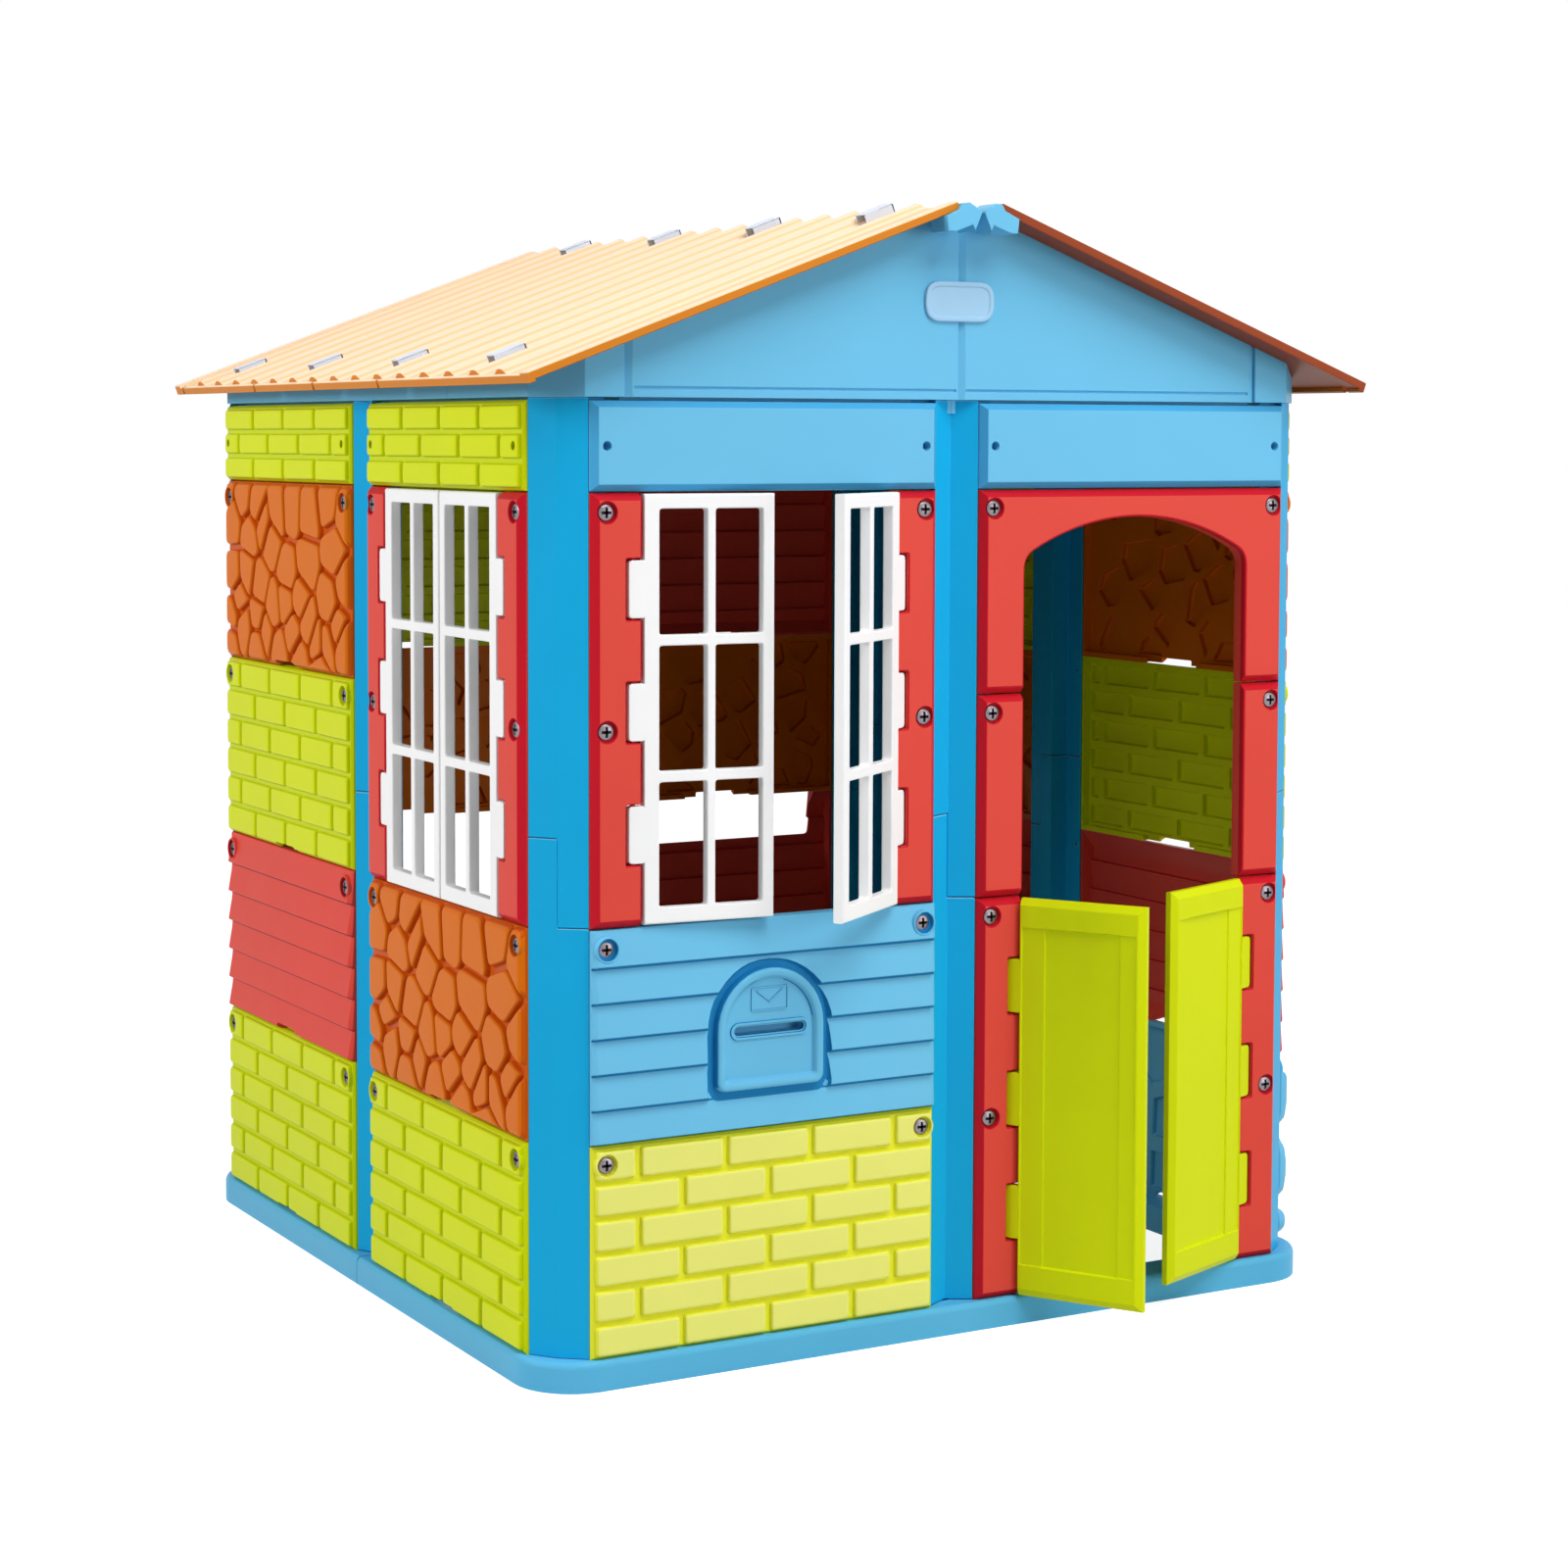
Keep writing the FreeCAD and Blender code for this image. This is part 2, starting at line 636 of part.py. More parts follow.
cap_start = f"({HALF}-cap_width)"
gable = right_front([
    ("0", SEAT), (cap_start, SEAT), (cap_start, under(cap_start)), ("ridge_gap", under("ridge_gap")),
    ("0", under("ridge_gap"))], "rim_depth")
cap_face = right_front([
    (cap_start, SEAT), (HALF, SEAT), (HALF, under(HALF)), (cap_start, under(cap_start))], "beam_width")
beam_in = f"({HALF}-beam_width)"
beam_corners = [(beam_in, SEAT), (HALF, SEAT), (HALF, under(HALF)), (beam_in, under(beam_in))]
cap_corner = prism("XY_Plane", [[
    (HALF, f"-{HALF}"), (HALF, f"-{HALF}+2*nose"), (f"{HALF}-2*nose", f"-{HALF}")]], "ridge_top")
cap = cut(fuse([cap_face, right_front(beam_corners, "cap_length")]), [cap_corner])
beam = move(
    prism("XZ_Plane", [beam_corners], f"{SPAN}-2*cap_length", True), ("0", f"-{HALF}+cap_length", "0"))


def four(source):
    pair = [source, mirrored(source)]
    return [copy(piece, ("0", MIDDLE, "0"), turn) for piece in pair for turn in ("0", "180")]


gables = four(gable)
node("gable_front_right", gables[0:1])
node("gable_front_left", gables[2:3])
node("gable_back", [gables[1], gables[3]])
node("corner_caps", four(cap))
node("eave_beams", [copy(beam, ("0", MIDDLE, "0"), turn) for turn in ("0", "180")])

wide = "(ridge_beam_width/2)"
wall_in = f"({wide}-post_wall)"
beam_floor = f"({under(wide)}-ridge_beam_depth)"
crown = f"({under('ridge_gap')}-post_wall)"
shoulder = f"({under(wall_in)}-post_wall)"
ridge_profile = [
    (wide, beam_floor), (wide, under(wide)), ("ridge_gap", under("ridge_gap")),
    ("-ridge_gap", under("ridge_gap")), (f"-{wide}", under(wide)), (f"-{wide}", beam_floor),
    (f"-{wall_in}", beam_floor), (f"-{wall_in}", shoulder), ("-ridge_gap", crown),
    ("ridge_gap", crown), (wall_in, shoulder), (wall_in, beam_floor)]
ridge = prism("XZ_Plane", [ridge_profile], f"{SPAN}-2*rim_depth", True)
node("ridge_beam", [copy(ridge, ("0", f"{FRONT}+rim_depth", "0"))])

# A roof sheet: x runs down the slope, the rib tops lie at z = 0.
full = "(sheet_thickness+rib_height)"
slab = box(("0", "0", f"-{full}"), (SLOPE, ROOF, "sheet_thickness"))
bands = [
    box(("0", "0", "-rib_height"), (SLOPE, "edge_band", "rib_height")),
    box(("0", f"{ROOF}-edge_band", "-rib_height"), (SLOPE, "edge_band", "rib_height"))]
rib_step = f"(({ROOF}-2*edge_band)/{ribs})"
rib = box(("0", "0", "-rib_height"), (SLOPE, "rib_width", "rib_height"))
rib_copies = [
    copy(rib, ("0", f"edge_band+{k + 0.5}*{rib_step}-rib_width/2", "0")) for k in range(ribs)]
clip_spots = []
for k in range(4):
    clip_spots.append((
        f"{SLOPE}-eave_clip_rise-clip_length", f"roof_overhang+eave_clip_first+{k}*eave_clip_pitch-clip_width/2"))
    clip_spots.append((
        "ridge_clip_drop", f"roof_overhang+ridge_clip_first+{k}*ridge_clip_pitch-clip_width/2"))
seats = [box((x, y, "-rib_height"), ("clip_length", "clip_width", "rib_height")) for x, y in clip_spots]
ledge = fuse([slab] + bands + rib_copies + seats)
clip = box(("0", "0", "0"), ("clip_length", "clip_width", "clip_height"))
clips = doc.addObject("Part::Compound", "Clips")
clips.Links = [copy(clip, (x, y, "0")) for x, y in clip_spots]


def on_slopes(source):
    front_end = f"{FRONT}-roof_overhang"
    right = copy(source, ("ridge_gap", front_end, "ridge_top"), PITCH, (0, 1, 0))
    left = copy(mirrored(source), ("-ridge_gap", front_end, "ridge_top"), f"-{PITCH}", (0, 1, 0))
    return right, left


right_sheet, left_sheet = on_slopes(ledge)
node("roof_sheet_right", [right_sheet])
node("roof_sheet_left", [left_sheet])
node("roof_clips", on_slopes(clips))

# Hooked brackets at both ends of the ridge, with an arm back to the gable.
hook_floor = "(ridge_top-38)"
hook_corners = [
    ("1", "ridge_top-14"), ("6", "ridge_top-35"), ("15", "ridge_top-28"), ("hook_width-9", hook_floor),
    ("hook_width", "ridge_top-18"), ("ridge_gap", "ridge_top"), ("ridge_gap-14", "ridge_top-2")]
hook_plate = move(
    prism("XZ_Plane", [hook_corners], "hook_proud", True), ("0", f"-{HALF}-roof_overhang-hook_proud", "0"))
arm = box(("16", f"-{HALF}-roof_overhang-1", "ridge_top-33"), ("22", "roof_overhang+1", "hook_arm"))
node("ridge_brackets", four(fuse([hook_plate, arm])))

node("badge_plaque", [box(
    ("-plaque_width/2", f"{FRONT}-plaque_thickness", "plaque_level-plaque_height/2"),
    ("plaque_width", "plaque_thickness", "plaque_height"))])

# One kind of screw: the head sits in its recess, the shank passes the post flange.
head = rod(("0", "-relief", "0"), "screw_head", "recess_depth", "y")
shank = rod(("0", "-relief", "0"), "screw_shank", "screw_length", "y")
socket = [
    box(("-4", "-relief-1", "-0.75"), ("8", "2.5", "1.5")),
    box(("-0.75", "-relief-1", "-4"), ("1.5", "2.5", "8"))]
screw = cut(fuse([head, shank]), socket)
screws = []
for wall in walls:
    for bay in BAYS:
        for level in ROW_SCREWS:
            for along in ("screw_inset", "panel_width-screw_inset"):
                screws.append(on_wall(screw, wall, f"{bay}+{along}", level))
node("panel_screws", screws)

doc.recompute()
for thing in doc.Objects:
    if "Invalid" in thing.State or "Error" in thing.State:
        raise RuntimeError(f"{thing.Label} did not build")
for thing in nodes:
    if thing.Shape.isNull() or not thing.Shape.isValid() or thing.Shape.Volume <= 0:
        raise RuntimeError(f"{thing.Label} is not a sound solid")
for thing in nodes:
    thing.Shape.exportStep(f"parts/{thing.Label}.step")
print(len(nodes), "pieces")
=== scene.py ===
import json
import random
from math import asin, atan2, cos, hypot, pi, radians, sin, tau
import bmesh
import bpy
from mathutils import Matrix, Vector


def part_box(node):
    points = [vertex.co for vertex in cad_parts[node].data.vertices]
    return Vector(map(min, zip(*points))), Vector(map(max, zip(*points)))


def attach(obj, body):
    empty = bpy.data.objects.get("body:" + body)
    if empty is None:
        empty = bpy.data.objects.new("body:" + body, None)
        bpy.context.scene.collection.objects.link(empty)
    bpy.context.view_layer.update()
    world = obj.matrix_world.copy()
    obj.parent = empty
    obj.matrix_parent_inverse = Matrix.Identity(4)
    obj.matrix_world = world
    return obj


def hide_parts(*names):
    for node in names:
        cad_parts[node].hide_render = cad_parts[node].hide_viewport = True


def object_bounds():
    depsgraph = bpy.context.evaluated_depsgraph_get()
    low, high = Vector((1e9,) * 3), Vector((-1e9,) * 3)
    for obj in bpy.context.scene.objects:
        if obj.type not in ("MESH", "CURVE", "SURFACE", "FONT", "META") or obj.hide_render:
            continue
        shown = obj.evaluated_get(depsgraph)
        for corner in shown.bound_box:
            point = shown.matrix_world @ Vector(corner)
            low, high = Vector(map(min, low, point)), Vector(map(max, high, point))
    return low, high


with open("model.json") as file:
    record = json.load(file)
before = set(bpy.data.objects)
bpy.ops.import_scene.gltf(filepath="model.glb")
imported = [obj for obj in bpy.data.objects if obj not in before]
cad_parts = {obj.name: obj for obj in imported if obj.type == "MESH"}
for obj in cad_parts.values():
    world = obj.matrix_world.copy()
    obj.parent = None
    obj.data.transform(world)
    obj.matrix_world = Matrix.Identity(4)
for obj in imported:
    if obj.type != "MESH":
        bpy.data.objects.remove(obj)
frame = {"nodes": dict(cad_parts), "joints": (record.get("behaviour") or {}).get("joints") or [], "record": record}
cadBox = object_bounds()
scene = bpy.context.scene
mm = 0.001
bodyOf = {}
for bodyName, members in frame["record"]["behaviour"]["bodies"].items():
    for nodeName in members:
        bodyOf[nodeName] = bodyName
print("frame loaded:", len(frame["nodes"]), "pieces")

# Camera at the viewer's standing place.
view = {
    "eye": (-2.0352, -3.1455, 1.0897), "heading": 28.902, "dip": 3.562, "roll": 0.124,
    "lens": 71.28, "shiftX": 0.0319, "shiftY": -0.0988,
}
cameraData = bpy.data.cameras.new("viewCamera")
cameraData.lens = view["lens"]
cameraData.sensor_width = 36
cameraData.shift_x = view["shiftX"]
cameraData.shift_y = view["shiftY"]
camera = bpy.data.objects.new("viewCamera", cameraData)
turn = Matrix.Rotation(-radians(view["heading"]), 4, "Z")
tip = Matrix.Rotation(radians(90 - view["dip"]), 4, "X")
lean = Matrix.Rotation(radians(view["roll"]), 4, "Z")
camera.matrix_world = Matrix.Translation(view["eye"]) @ turn @ tip @ lean
scene.collection.objects.link(camera)
scene.camera = camera


def linear(colour):
    return tuple(((c / 255 + 0.055) / 1.055) ** 2.4 for c in colour) + (1,)


# Soft studio lamps and a plain white room.
studio = {
    "front": {"place": (3.1, -4.9, 1.35), "size": (3.4, 2.6), "power": 102},
    "left": {"place": (-4.5, 0.7, 2.6), "size": (2.2, 2.2), "power": 126},
    "top": {"place": (0.4, -2.3, 4.4), "size": (2.6, 2.6), "power": 150},
    "room": 0.2,
}
middle = (cadBox[0] + cadBox[1]) / 2
for lampName in ("front", "left", "top"):
    lamp = studio[lampName]
    data = bpy.data.lights.new(lampName + "Lamp", "AREA")
    data.shape = "RECTANGLE"
    data.size, data.size_y = lamp["size"]
    data.energy = lamp["power"]
    body = bpy.data.objects.new(lampName + "Lamp", data)
    body.location = lamp["place"]
    body.rotation_euler = (middle - Vector(lamp["place"])).to_track_quat("-Z", "Y").to_euler()
    scene.collection.objects.link(body)
scene.view_settings.view_transform = "Standard"


def fill(node, values):
    for name, value in values.items():
        node.inputs[name].default_value = value


def whenSeen(tree, unseen, seen):
    # One value for what the eye, gloss and glass see, another for the light that falls.
    rays = tree.nodes.new("ShaderNodeLightPath")
    value = rays.outputs["Is Camera Ray"]
    for ray in ("Is Glossy Ray", "Is Transmission Ray"):
        larger = tree.nodes.new("ShaderNodeMath")
        larger.operation = "MAXIMUM"
        tree.links.new(value, larger.inputs[0])
        tree.links.new(rays.outputs[ray], larger.inputs[1])
        value = larger.outputs["Value"]
    spread = tree.nodes.new("ShaderNodeMapRange")
    fill(spread, {"To Min": unseen, "To Max": seen})
    tree.links.new(value, spread.inputs["Value"])
    return spread.outputs["Result"]


world = bpy.data.worlds.new("paleRoom")
world.use_nodes = True
air = world.node_tree.nodes["Background"]
air.inputs["Color"].default_value = (1, 1, 1, 1)
world.node_tree.links.new(whenSeen(world.node_tree, studio["room"], 1), air.inputs["Strength"])
scene.world = world
print("camera and lights ready")

# Plastic: how coarse each noise is, its detail, and how deep it presses.
plastic = {
    "rough": 0.34, "drift": 0.05, "waves": 0.25, "grain": 0.12, "metal": 0, "shine": 0.06,
    "cloud": (5, 3), "swell": (14, 1, 0.004), "speck": (900, 2, 0.0006),
}


def moulded(name, colour, changes):
    # Moulded plastic: slow drift of shade, faint flow waves and a fine grain.
    look = {**plastic, **changes}
    material = bpy.data.materials.new(name)
    material.use_nodes = True
    tree = material.node_tree
    make, join = tree.nodes.new, tree.links.new
    shader = tree.nodes["Principled BSDF"]
    place = make("ShaderNodeTexCoord")

    def noise(scale, detail):
        texture = make("ShaderNodeTexNoise")
        fill(texture, {"Scale": scale, "Detail": detail})
        join(place.outputs["Object"], texture.inputs["Vector"])
        return texture.outputs["Fac"]

    def relief(scale, detail, depth, strength, under=None):
        bump = make("ShaderNodeBump")
        fill(bump, {"Strength": strength, "Distance": depth})
        join(noise(scale, detail), bump.inputs["Height"])
        if under:
            join(under, bump.inputs["Normal"])
        return bump.outputs["Normal"]

    cloud = noise(*look["cloud"])
    shade, gloss = make("ShaderNodeMix"), make("ShaderNodeMapRange")
    shade.data_type = "RGBA"
    tone, drift = linear(colour)[:3], look["drift"]
    fill(shade, {
        "A": tuple(c * (1 - drift) for c in tone) + (1,),
        "B": tuple(min(c * (1 + drift), 1) for c in tone) + (1,)})
    join(cloud, shade.inputs["Factor"])
    join(shade.outputs["Result"], shader.inputs["Base Color"])
    fill(gloss, {"To Min": look["rough"] - 0.05, "To Max": look["rough"] + 0.06})
    join(cloud, gloss.inputs["Value"])
    join(gloss.outputs["Result"], shader.inputs["Roughness"])
    swell = relief(*look["swell"], look["waves"])
    join(relief(*look["speck"], look["grain"], swell), shader.inputs["Normal"])
    fill(shader, {"Metallic": look["metal"], "Specular IOR Level": look["shine"]})
    return material


# Some paints stand in for light. The deep, mid, lap and warm colours, the dark socket colour and the roof's valley,
# rim and underside colours are painted shade; the rim is partly the sheet's own orange. The pale lime and the
# roof's peach are painted sheen.
paints = {
    "frame_blue": (24, 170, 224), "frame_joint_shade": (6, 96, 150), "panel_blue": (108, 190, 229),
    "panel_shade_mid": (72, 164, 214), "panel_groove_shade": (30, 130, 188), "base_blue": (92, 182, 224),
    "lime": (214, 226, 10), "lime_pale_sheen": (236, 236, 122), "lime_front_mortar_shade": (230, 230, 52), "lime_mortar_shade": (200, 213, 6),
    "red": (222, 74, 62), "red_edge_shade": (198, 26, 42), "red_lap_shade": (164, 28, 38),
    "orange": (217, 110, 8), "orange_groove_shade": (200, 86, 14),
    "roof_peach": (250, 222, 192), "roof_valley_shade": (244, 206, 158), "roof_rim": (212, 128, 34),
    "roof_under_shade": (148, 66, 34), "shutter_white": (249, 249, 250), "pale_blue": (164, 206, 236),
    "clip_white": (214, 224, 242), "screw_steel": (128, 120, 126), "screw_socket_shade": (24, 20, 22),
}
changed = {"screw_steel": {"metal": 1, "waves": 0}, "screw_socket_shade": {"rough": 0.6, "waves": 0}}
finish = {slot: moulded(slot.replace("_", " "), paint, changed.get(slot, {})) for slot, paint in paints.items()}
slotWords = {
    "frame_blue": ("base_", "corner_posts", "middle_posts", "ridge_beam"),
    "panel_blue": ("mailbox", "front_top", "gable", "corner_caps", "eave_beams", "right_front_rock"),
    "lime": ("brick", "door_leaf"), "red": ("jamb", "arch", "siding"), "orange": ("stone",),
    "roof_peach": ("roof_sheet",), "shutter_white": ("shutter",),
    "pale_blue": ("roof_clips", "bracket", "badge"), "screw_steel": ("screws",),
}


def slotFor(node):
    return next(slot for slot, words in slotWords.items() if any(word in node for word in words))


done = set()
# The front brick panel takes the pale lime, a painted sheen.
toneOf = {"base_front": "base_blue", "base_back": "base_blue", "front_brick_panel": "lime_pale_sheen",
          "ridge_brackets": "panel_blue"}


def settle(piece, node):
    # The finished piece takes its node's place, body and finish; big flat faces keep their shading flat.
    for face in piece.data.polygons:
        face.use_smooth = True
    piece.data.set_sharp_from_angle(angle=radians(40))
    even = piece.modifiers.new("even", "WEIGHTED_NORMAL")
    even.keep_sharp = True
    even.weight = 100
    piece.data = applied(piece)
    piece.data.materials.clear()
    piece.data.materials.append(finish[toneOf.get(node, slotFor(node))])
    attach(piece, bodyOf[node])
    slotFor(node)
    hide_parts(node)
    done.add(node)
    return piece


def newObject(name, mesh):
    piece = bpy.data.objects.new(name, mesh)
    scene.collection.objects.link(piece)
    return piece


def applied(piece):
    # The modifiers' result as a plain mesh.
    bpy.context.view_layer.update()
    mesh = bpy.data.meshes.new_from_object(piece.evaluated_get(bpy.context.evaluated_depsgraph_get()))
    piece.modifiers.clear()
    return mesh


def rounded(mesh, width, steps=2, angle=28):
    piece = newObject("rounding", mesh)
    soft = piece.modifiers.new("edges", "BEVEL")
    soft.width = width * mm
    soft.segments = steps
    soft.limit_method = "ANGLE"
    soft.angle_limit = radians(angle)
    result = applied(piece)
    bpy.data.objects.remove(piece)
    return result


def trimmed(mesh, cutter):
    # The mesh less the cutter's shape.
    piece, tool = newObject("trimming", mesh), newObject("cutter", cutter)
    cut = piece.modifiers.new("cut", "BOOLEAN")
    cut.object = tool
    cut.solver = "EXACT"
    cut.use_self = True
    result = applied(piece)
    bpy.data.objects.remove(piece)
    bpy.data.objects.remove(tool)
    return result


refining = {"shortest": 3, "sharpest": 12, "flat": 1}


def refined(node, edge=1.0):
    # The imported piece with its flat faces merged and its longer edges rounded.
    form = bmesh.new()
    form.from_mesh(frame["nodes"][node].data)
    bmesh.ops.remove_doubles(form, verts=form.verts, dist=1e-5)
    bmesh.ops.dissolve_limit(form, angle_limit=radians(refining["flat"]), verts=form.verts, edges=form.edges)
    long = [e for e in form.edges if len(e.link_faces) == 2 and e.calc_length() > refining["shortest"] * mm
            and e.calc_face_angle() > radians(refining["sharpest"])]
    bmesh.ops.bevel(form, geom=long, offset=edge * mm, segments=2, profile=0.5, affect="EDGES", clamp_overlap=True)
    mesh = bpy.data.meshes.new(node)
    form.to_mesh(mesh)
    form.free()
    return settle(newObject(node + "_fine", mesh), node)


def toned(piece, paint, test):
    # The faces that pass the test take another paint.
    piece.data.materials.append(finish[paint])
    index = len(piece.data.materials) - 1
    for face in piece.data.polygons:
        if test(face):
            face.material_index = index


def edited(mesh, change):
    # The mesh after a change to its form.
    form = bmesh.new()
    form.from_mesh(mesh)
    change(form)
    form.to_mesh(mesh)
    form.free()
    return mesh


# Panels are drawn flat: x along, z up, outwards towards -y, in millimetres.
def blank(draw, *values):
    form = bmesh.new()
    draw(form, *values)
    mesh = bpy.data.meshes.new("form")
    bmesh.ops.recalc_face_normals(form, faces=form.faces)
    form.to_mesh(mesh)
    form.free()
    return mesh


def points(form, places):
    return [form.verts.new(Vector(place) * mm) for place in places]


def stack(form, rings):
    # Closed loops of equal count, joined into a skin and capped at both ends.
    rows = [points(form, ring) for ring in rings]
    count = len(rows[0])
    faces = [form.faces.new(rows[0]), form.faces.new(rows[-1])]
    for low, high in zip(rows, rows[1:]):
        for i in range(count):
            j = (i + 1) % count
            faces.append(form.faces.new((low[i], low[j], high[j], high[i])))
    bmesh.ops.recalc_face_normals(form, faces=faces)


def inset(loop, amounts):
    # Each side of a counter-clockwise loop moved inwards by its own amount.
    moved = []
    for i, here in enumerate(loop):
        before, after = loop[i - 1], loop[(i + 1) % len(loop)]
        a = (here - before).normalized()
        b = (after - here).normalized()
        na, nb = Vector((-a.y, a.x)), Vector((-b.y, b.x))
        ra, rb = here.dot(na) + amounts[i - 1], here.dot(nb) + amounts[i]
        cross = na.x * nb.y - na.y * nb.x
        if abs(cross) < 1e-4:
            moved.append(here + na * amounts[i - 1])
        else:
            moved.append(Vector(((ra * nb.y - rb * na.y) / cross, (na.x * rb - nb.x * ra) / cross)))
    return moved


def bend(start, corner, end, steps):
    # A curve from start to end that leans towards the corner.
    return [start * (1 - t) ** 2 + corner * 2 * t * (1 - t) + end * t ** 2
            for t in [k / steps for k in range(steps + 1)]]


def arc(x, y, radius, start, sweep, steps):
    # Points along part of a circle, both ends included.
    turns = [start + sweep * k / steps for k in range(steps + 1)]
    return [Vector((x + radius * cos(a), y + radius * sin(a))) for a in turns]


def softened(loop, radius, steps=3):
    # The same loop with its corners rounded.
    rounds = []
    for i, here in enumerate(loop):
        before, after = loop[i - 1], loop[(i + 1) % len(loop)]
        reach = min(radius, (before - here).length * 0.45, (after - here).length * 0.45)
        start = here + (before - here).normalized() * reach
        end = here + (after - here).normalized() * reach
        rounds += bend(start, here, end, steps)
    return rounds


def lift(loop, out):
    return [(p.x, -out, p.y) for p in loop]


def rectangle(x, z, width, height):
    return [Vector((x, z)), Vector((x + width, z)), Vector((x + width, z + height)), Vector((x, z + height))]


def block(form, loop, levels, radius=0, kinds=None):
    # levels: how far in each ring lies, and how far out of the wall.
    rings = []
    for inward, out in levels:
        amounts = [inward] * len(loop) if kinds is None else [inward * kind for kind in kinds]
        ring = inset(loop, amounts)
        rings.append(lift(softened(ring, radius) if radius else ring, out))
    stack(form, rings)


def disc(form, x, z, levels, steps=28):
    stack(form, [lift(arc(x, z, radius, 0, tau, steps)[:-1], out) for radius, out in levels])


panel = {
    "width": 460, "height": 246, "topHeight": 102, "depth": 14, "proud": 8, "slope": 8, "margin": 1,
    "rim": 30, "edge": 6, "skin": 3,
    "recess": 12.2, "recessDepth": 5, "collar": 15.8, "screwIn": 18, "screwDown": 22, "notch": (67, 7), "rise": 248,
    "bay": 522, "rockProud": 16, "smallest": (9, 60), "within": 34, "merge": 2.5, "passGap": (60, 178, 340, 90),
}
screwSides = (panel["screwIn"], panel["width"] - panel["screwIn"])


def plate(form, height, level, slope):
    # The panel's body: square sides, then a bevel up to the level that the pattern stands on.
    sides = rectangle(0, 0, panel["width"], height)
    steps = [(-0.9, -panel["depth"]), (-0.9, -8), (0, -7.2), (0, -0.6), (0.3, 0)]
    steps += [(slope - 0.8, level - 0.5), (slope, level), (slope + 1.5, level)]
    block(form, sides, steps)


brick = {
    "gap": 6.4, "bed": 5.4, "slope": 3, "radius": 4, "mortar": 3, "wobble": 0.5,
    "side": 4.6, "foot": 3, "head": 4.4,
}


def seat(form, x, z):
    # The round well that a screw head sits in.
    top, r = panel["proud"], panel["recess"]
    disc(form, x, z, [
        (r + 1.6, top + 30), (r + 1.6, top + 0.3), (r + 0.6, top - 0.6), (r, top - 2),
        (r - 0.4, top - panel["recessDepth"])])


def collars(form, height):
    # The pattern rises to a round collar about each seat.
    r, top = panel["collar"], panel["proud"]
    for x in screwSides:
        disc(form, x, height - panel["screwDown"], [
            (r + 0.6, -1), (r, top - 2.2), (r - 0.5, top - 0.7), (r - 1.3, top)])


def handGap(form, wider, higher, levels, radius=0):
    wide, high = panel["notch"][0] + wider, panel["notch"][1] + higher
    block(form, rectangle((panel["width"] - wide) / 2, -4, wide, high + 4), levels, radius)


def screwSeats(height, gap=True):
    # Round seats near the upper corners, and the hand gap at the middle of the lower edge.
    def draw(form):
        for x in screwSides:
            seat(form, x, height - panel["screwDown"])
        if gap:
            handGap(form, 0, 0, [(0, -20), (0, 20)], 2)
    return blank(draw)


def bareHoles(height):
    def draw(form):
        for x in screwSides:
            disc(form, x, height / 2, [(6, 14), (6, 8.2), (5.2, 7.4), (5, -6)])
    return blank(draw)


def brickLoops(height, courses):
    # Outlines of the bricks, whole courses and courses that start with a half.
    rng = random.Random(courses)
    pitch = (panel["width"] - 2 * brick["side"] + brick["gap"]) / 4
    rise = (height - brick["foot"] - brick["head"] + brick["bed"]) / courses
    for course in range(courses):
        low = brick["foot"] + course * rise
        high = low + rise - brick["bed"]
        starts = [0, 1, 2, 3] if course % 2 == 0 else [0, 0.5, 1.5, 2.5, 3.5]
        for k, start in enumerate(starts):
            end = starts[k + 1] if k + 1 < len(starts) else 4
            left = brick["side"] + start * pitch
            right = brick["side"] + end * pitch - brick["gap"]
            shift = [rng.uniform(-1, 1) * brick["wobble"] for _ in range(4)]
            yield [
                Vector((left + shift[0], low)), Vector((right + shift[1], low + shift[2])),
                Vector((right + shift[1], high + shift[3])), Vector((left + shift[0], high))]


def areaOf(loop):
    # Positive as long as the loop hasn't turned inside out anywhere.
    crosses = [(b - a).cross(c - b) for a, b, c in zip(loop, loop[1:] + loop[:1], loop[2:] + loop[:2])]
    total = sum(a.cross(b) for a, b in zip(loop, loop[1:] + loop[:1])) / 2
    return total if min(crosses) > 0 else 0


def hollowed(mesh, height, loops, gap):
    # The inner side: an open tray, with the pattern's blocks sunk into its floor.
    rim, edge, skin = panel["rim"], panel["edge"], panel["skin"]

    def draw(form):
        block(form, rectangle(rim, edge, panel["width"] - 2 * rim, height - 2 * edge), [(0, -30), (0, -skin)])
        if gap:
            handGap(form, 50, 1, [(0, -29), (0, 0.4 - skin)])
        for loop in loops:
            within = [Vector((
                min(max(p.x, rim + 1), panel["width"] - rim - 1), min(max(p.y, edge + 1), height - edge - 1)))
                for p in loop]
            shrink, least = panel["smallest"]
            if areaOf(inset(within, [shrink] * len(within))) < least:
                continue
            block(form, within, [
                (skin * 0.8, -skin - 2), (skin * 0.8, -skin + 0.4), (skin * 1.3, panel["proud"] - skin - 2),
                (skin * 1.9, panel["proud"] - skin - 0.4)], 3)
    return trimmed(mesh, blank(draw))


def brickPanel(height, courses, screwed, gap=True):
    def draw(form):
        plate(form, height, brick["mortar"], 3.4)
        s, low, face = brick["slope"], brick["mortar"], panel["proud"]
        for loop in brickLoops(height, courses):
            block(form, loop, [
                (0, low - 1), (0, low + 0.4), (s * 0.22, face - 2.6), (s * 0.55, face - 1), (s, face - 0.2),
                (s * 1.7, face)], brick["radius"])
        if screwed:
            collars(form, height)
    shell = hollowed(blank(draw), height, list(brickLoops(height, courses)), screwed and gap)
    return trimmed(shell, screwSeats(height, gap) if screwed else bareHoles(height))


def barePanel(height):
    # A plain raised field inside a wide bevel, with two small dark holes.
    return trimmed(rounded(blank(plate, height, panel["proud"], panel["slope"]), 0.8), bareHoles(height))


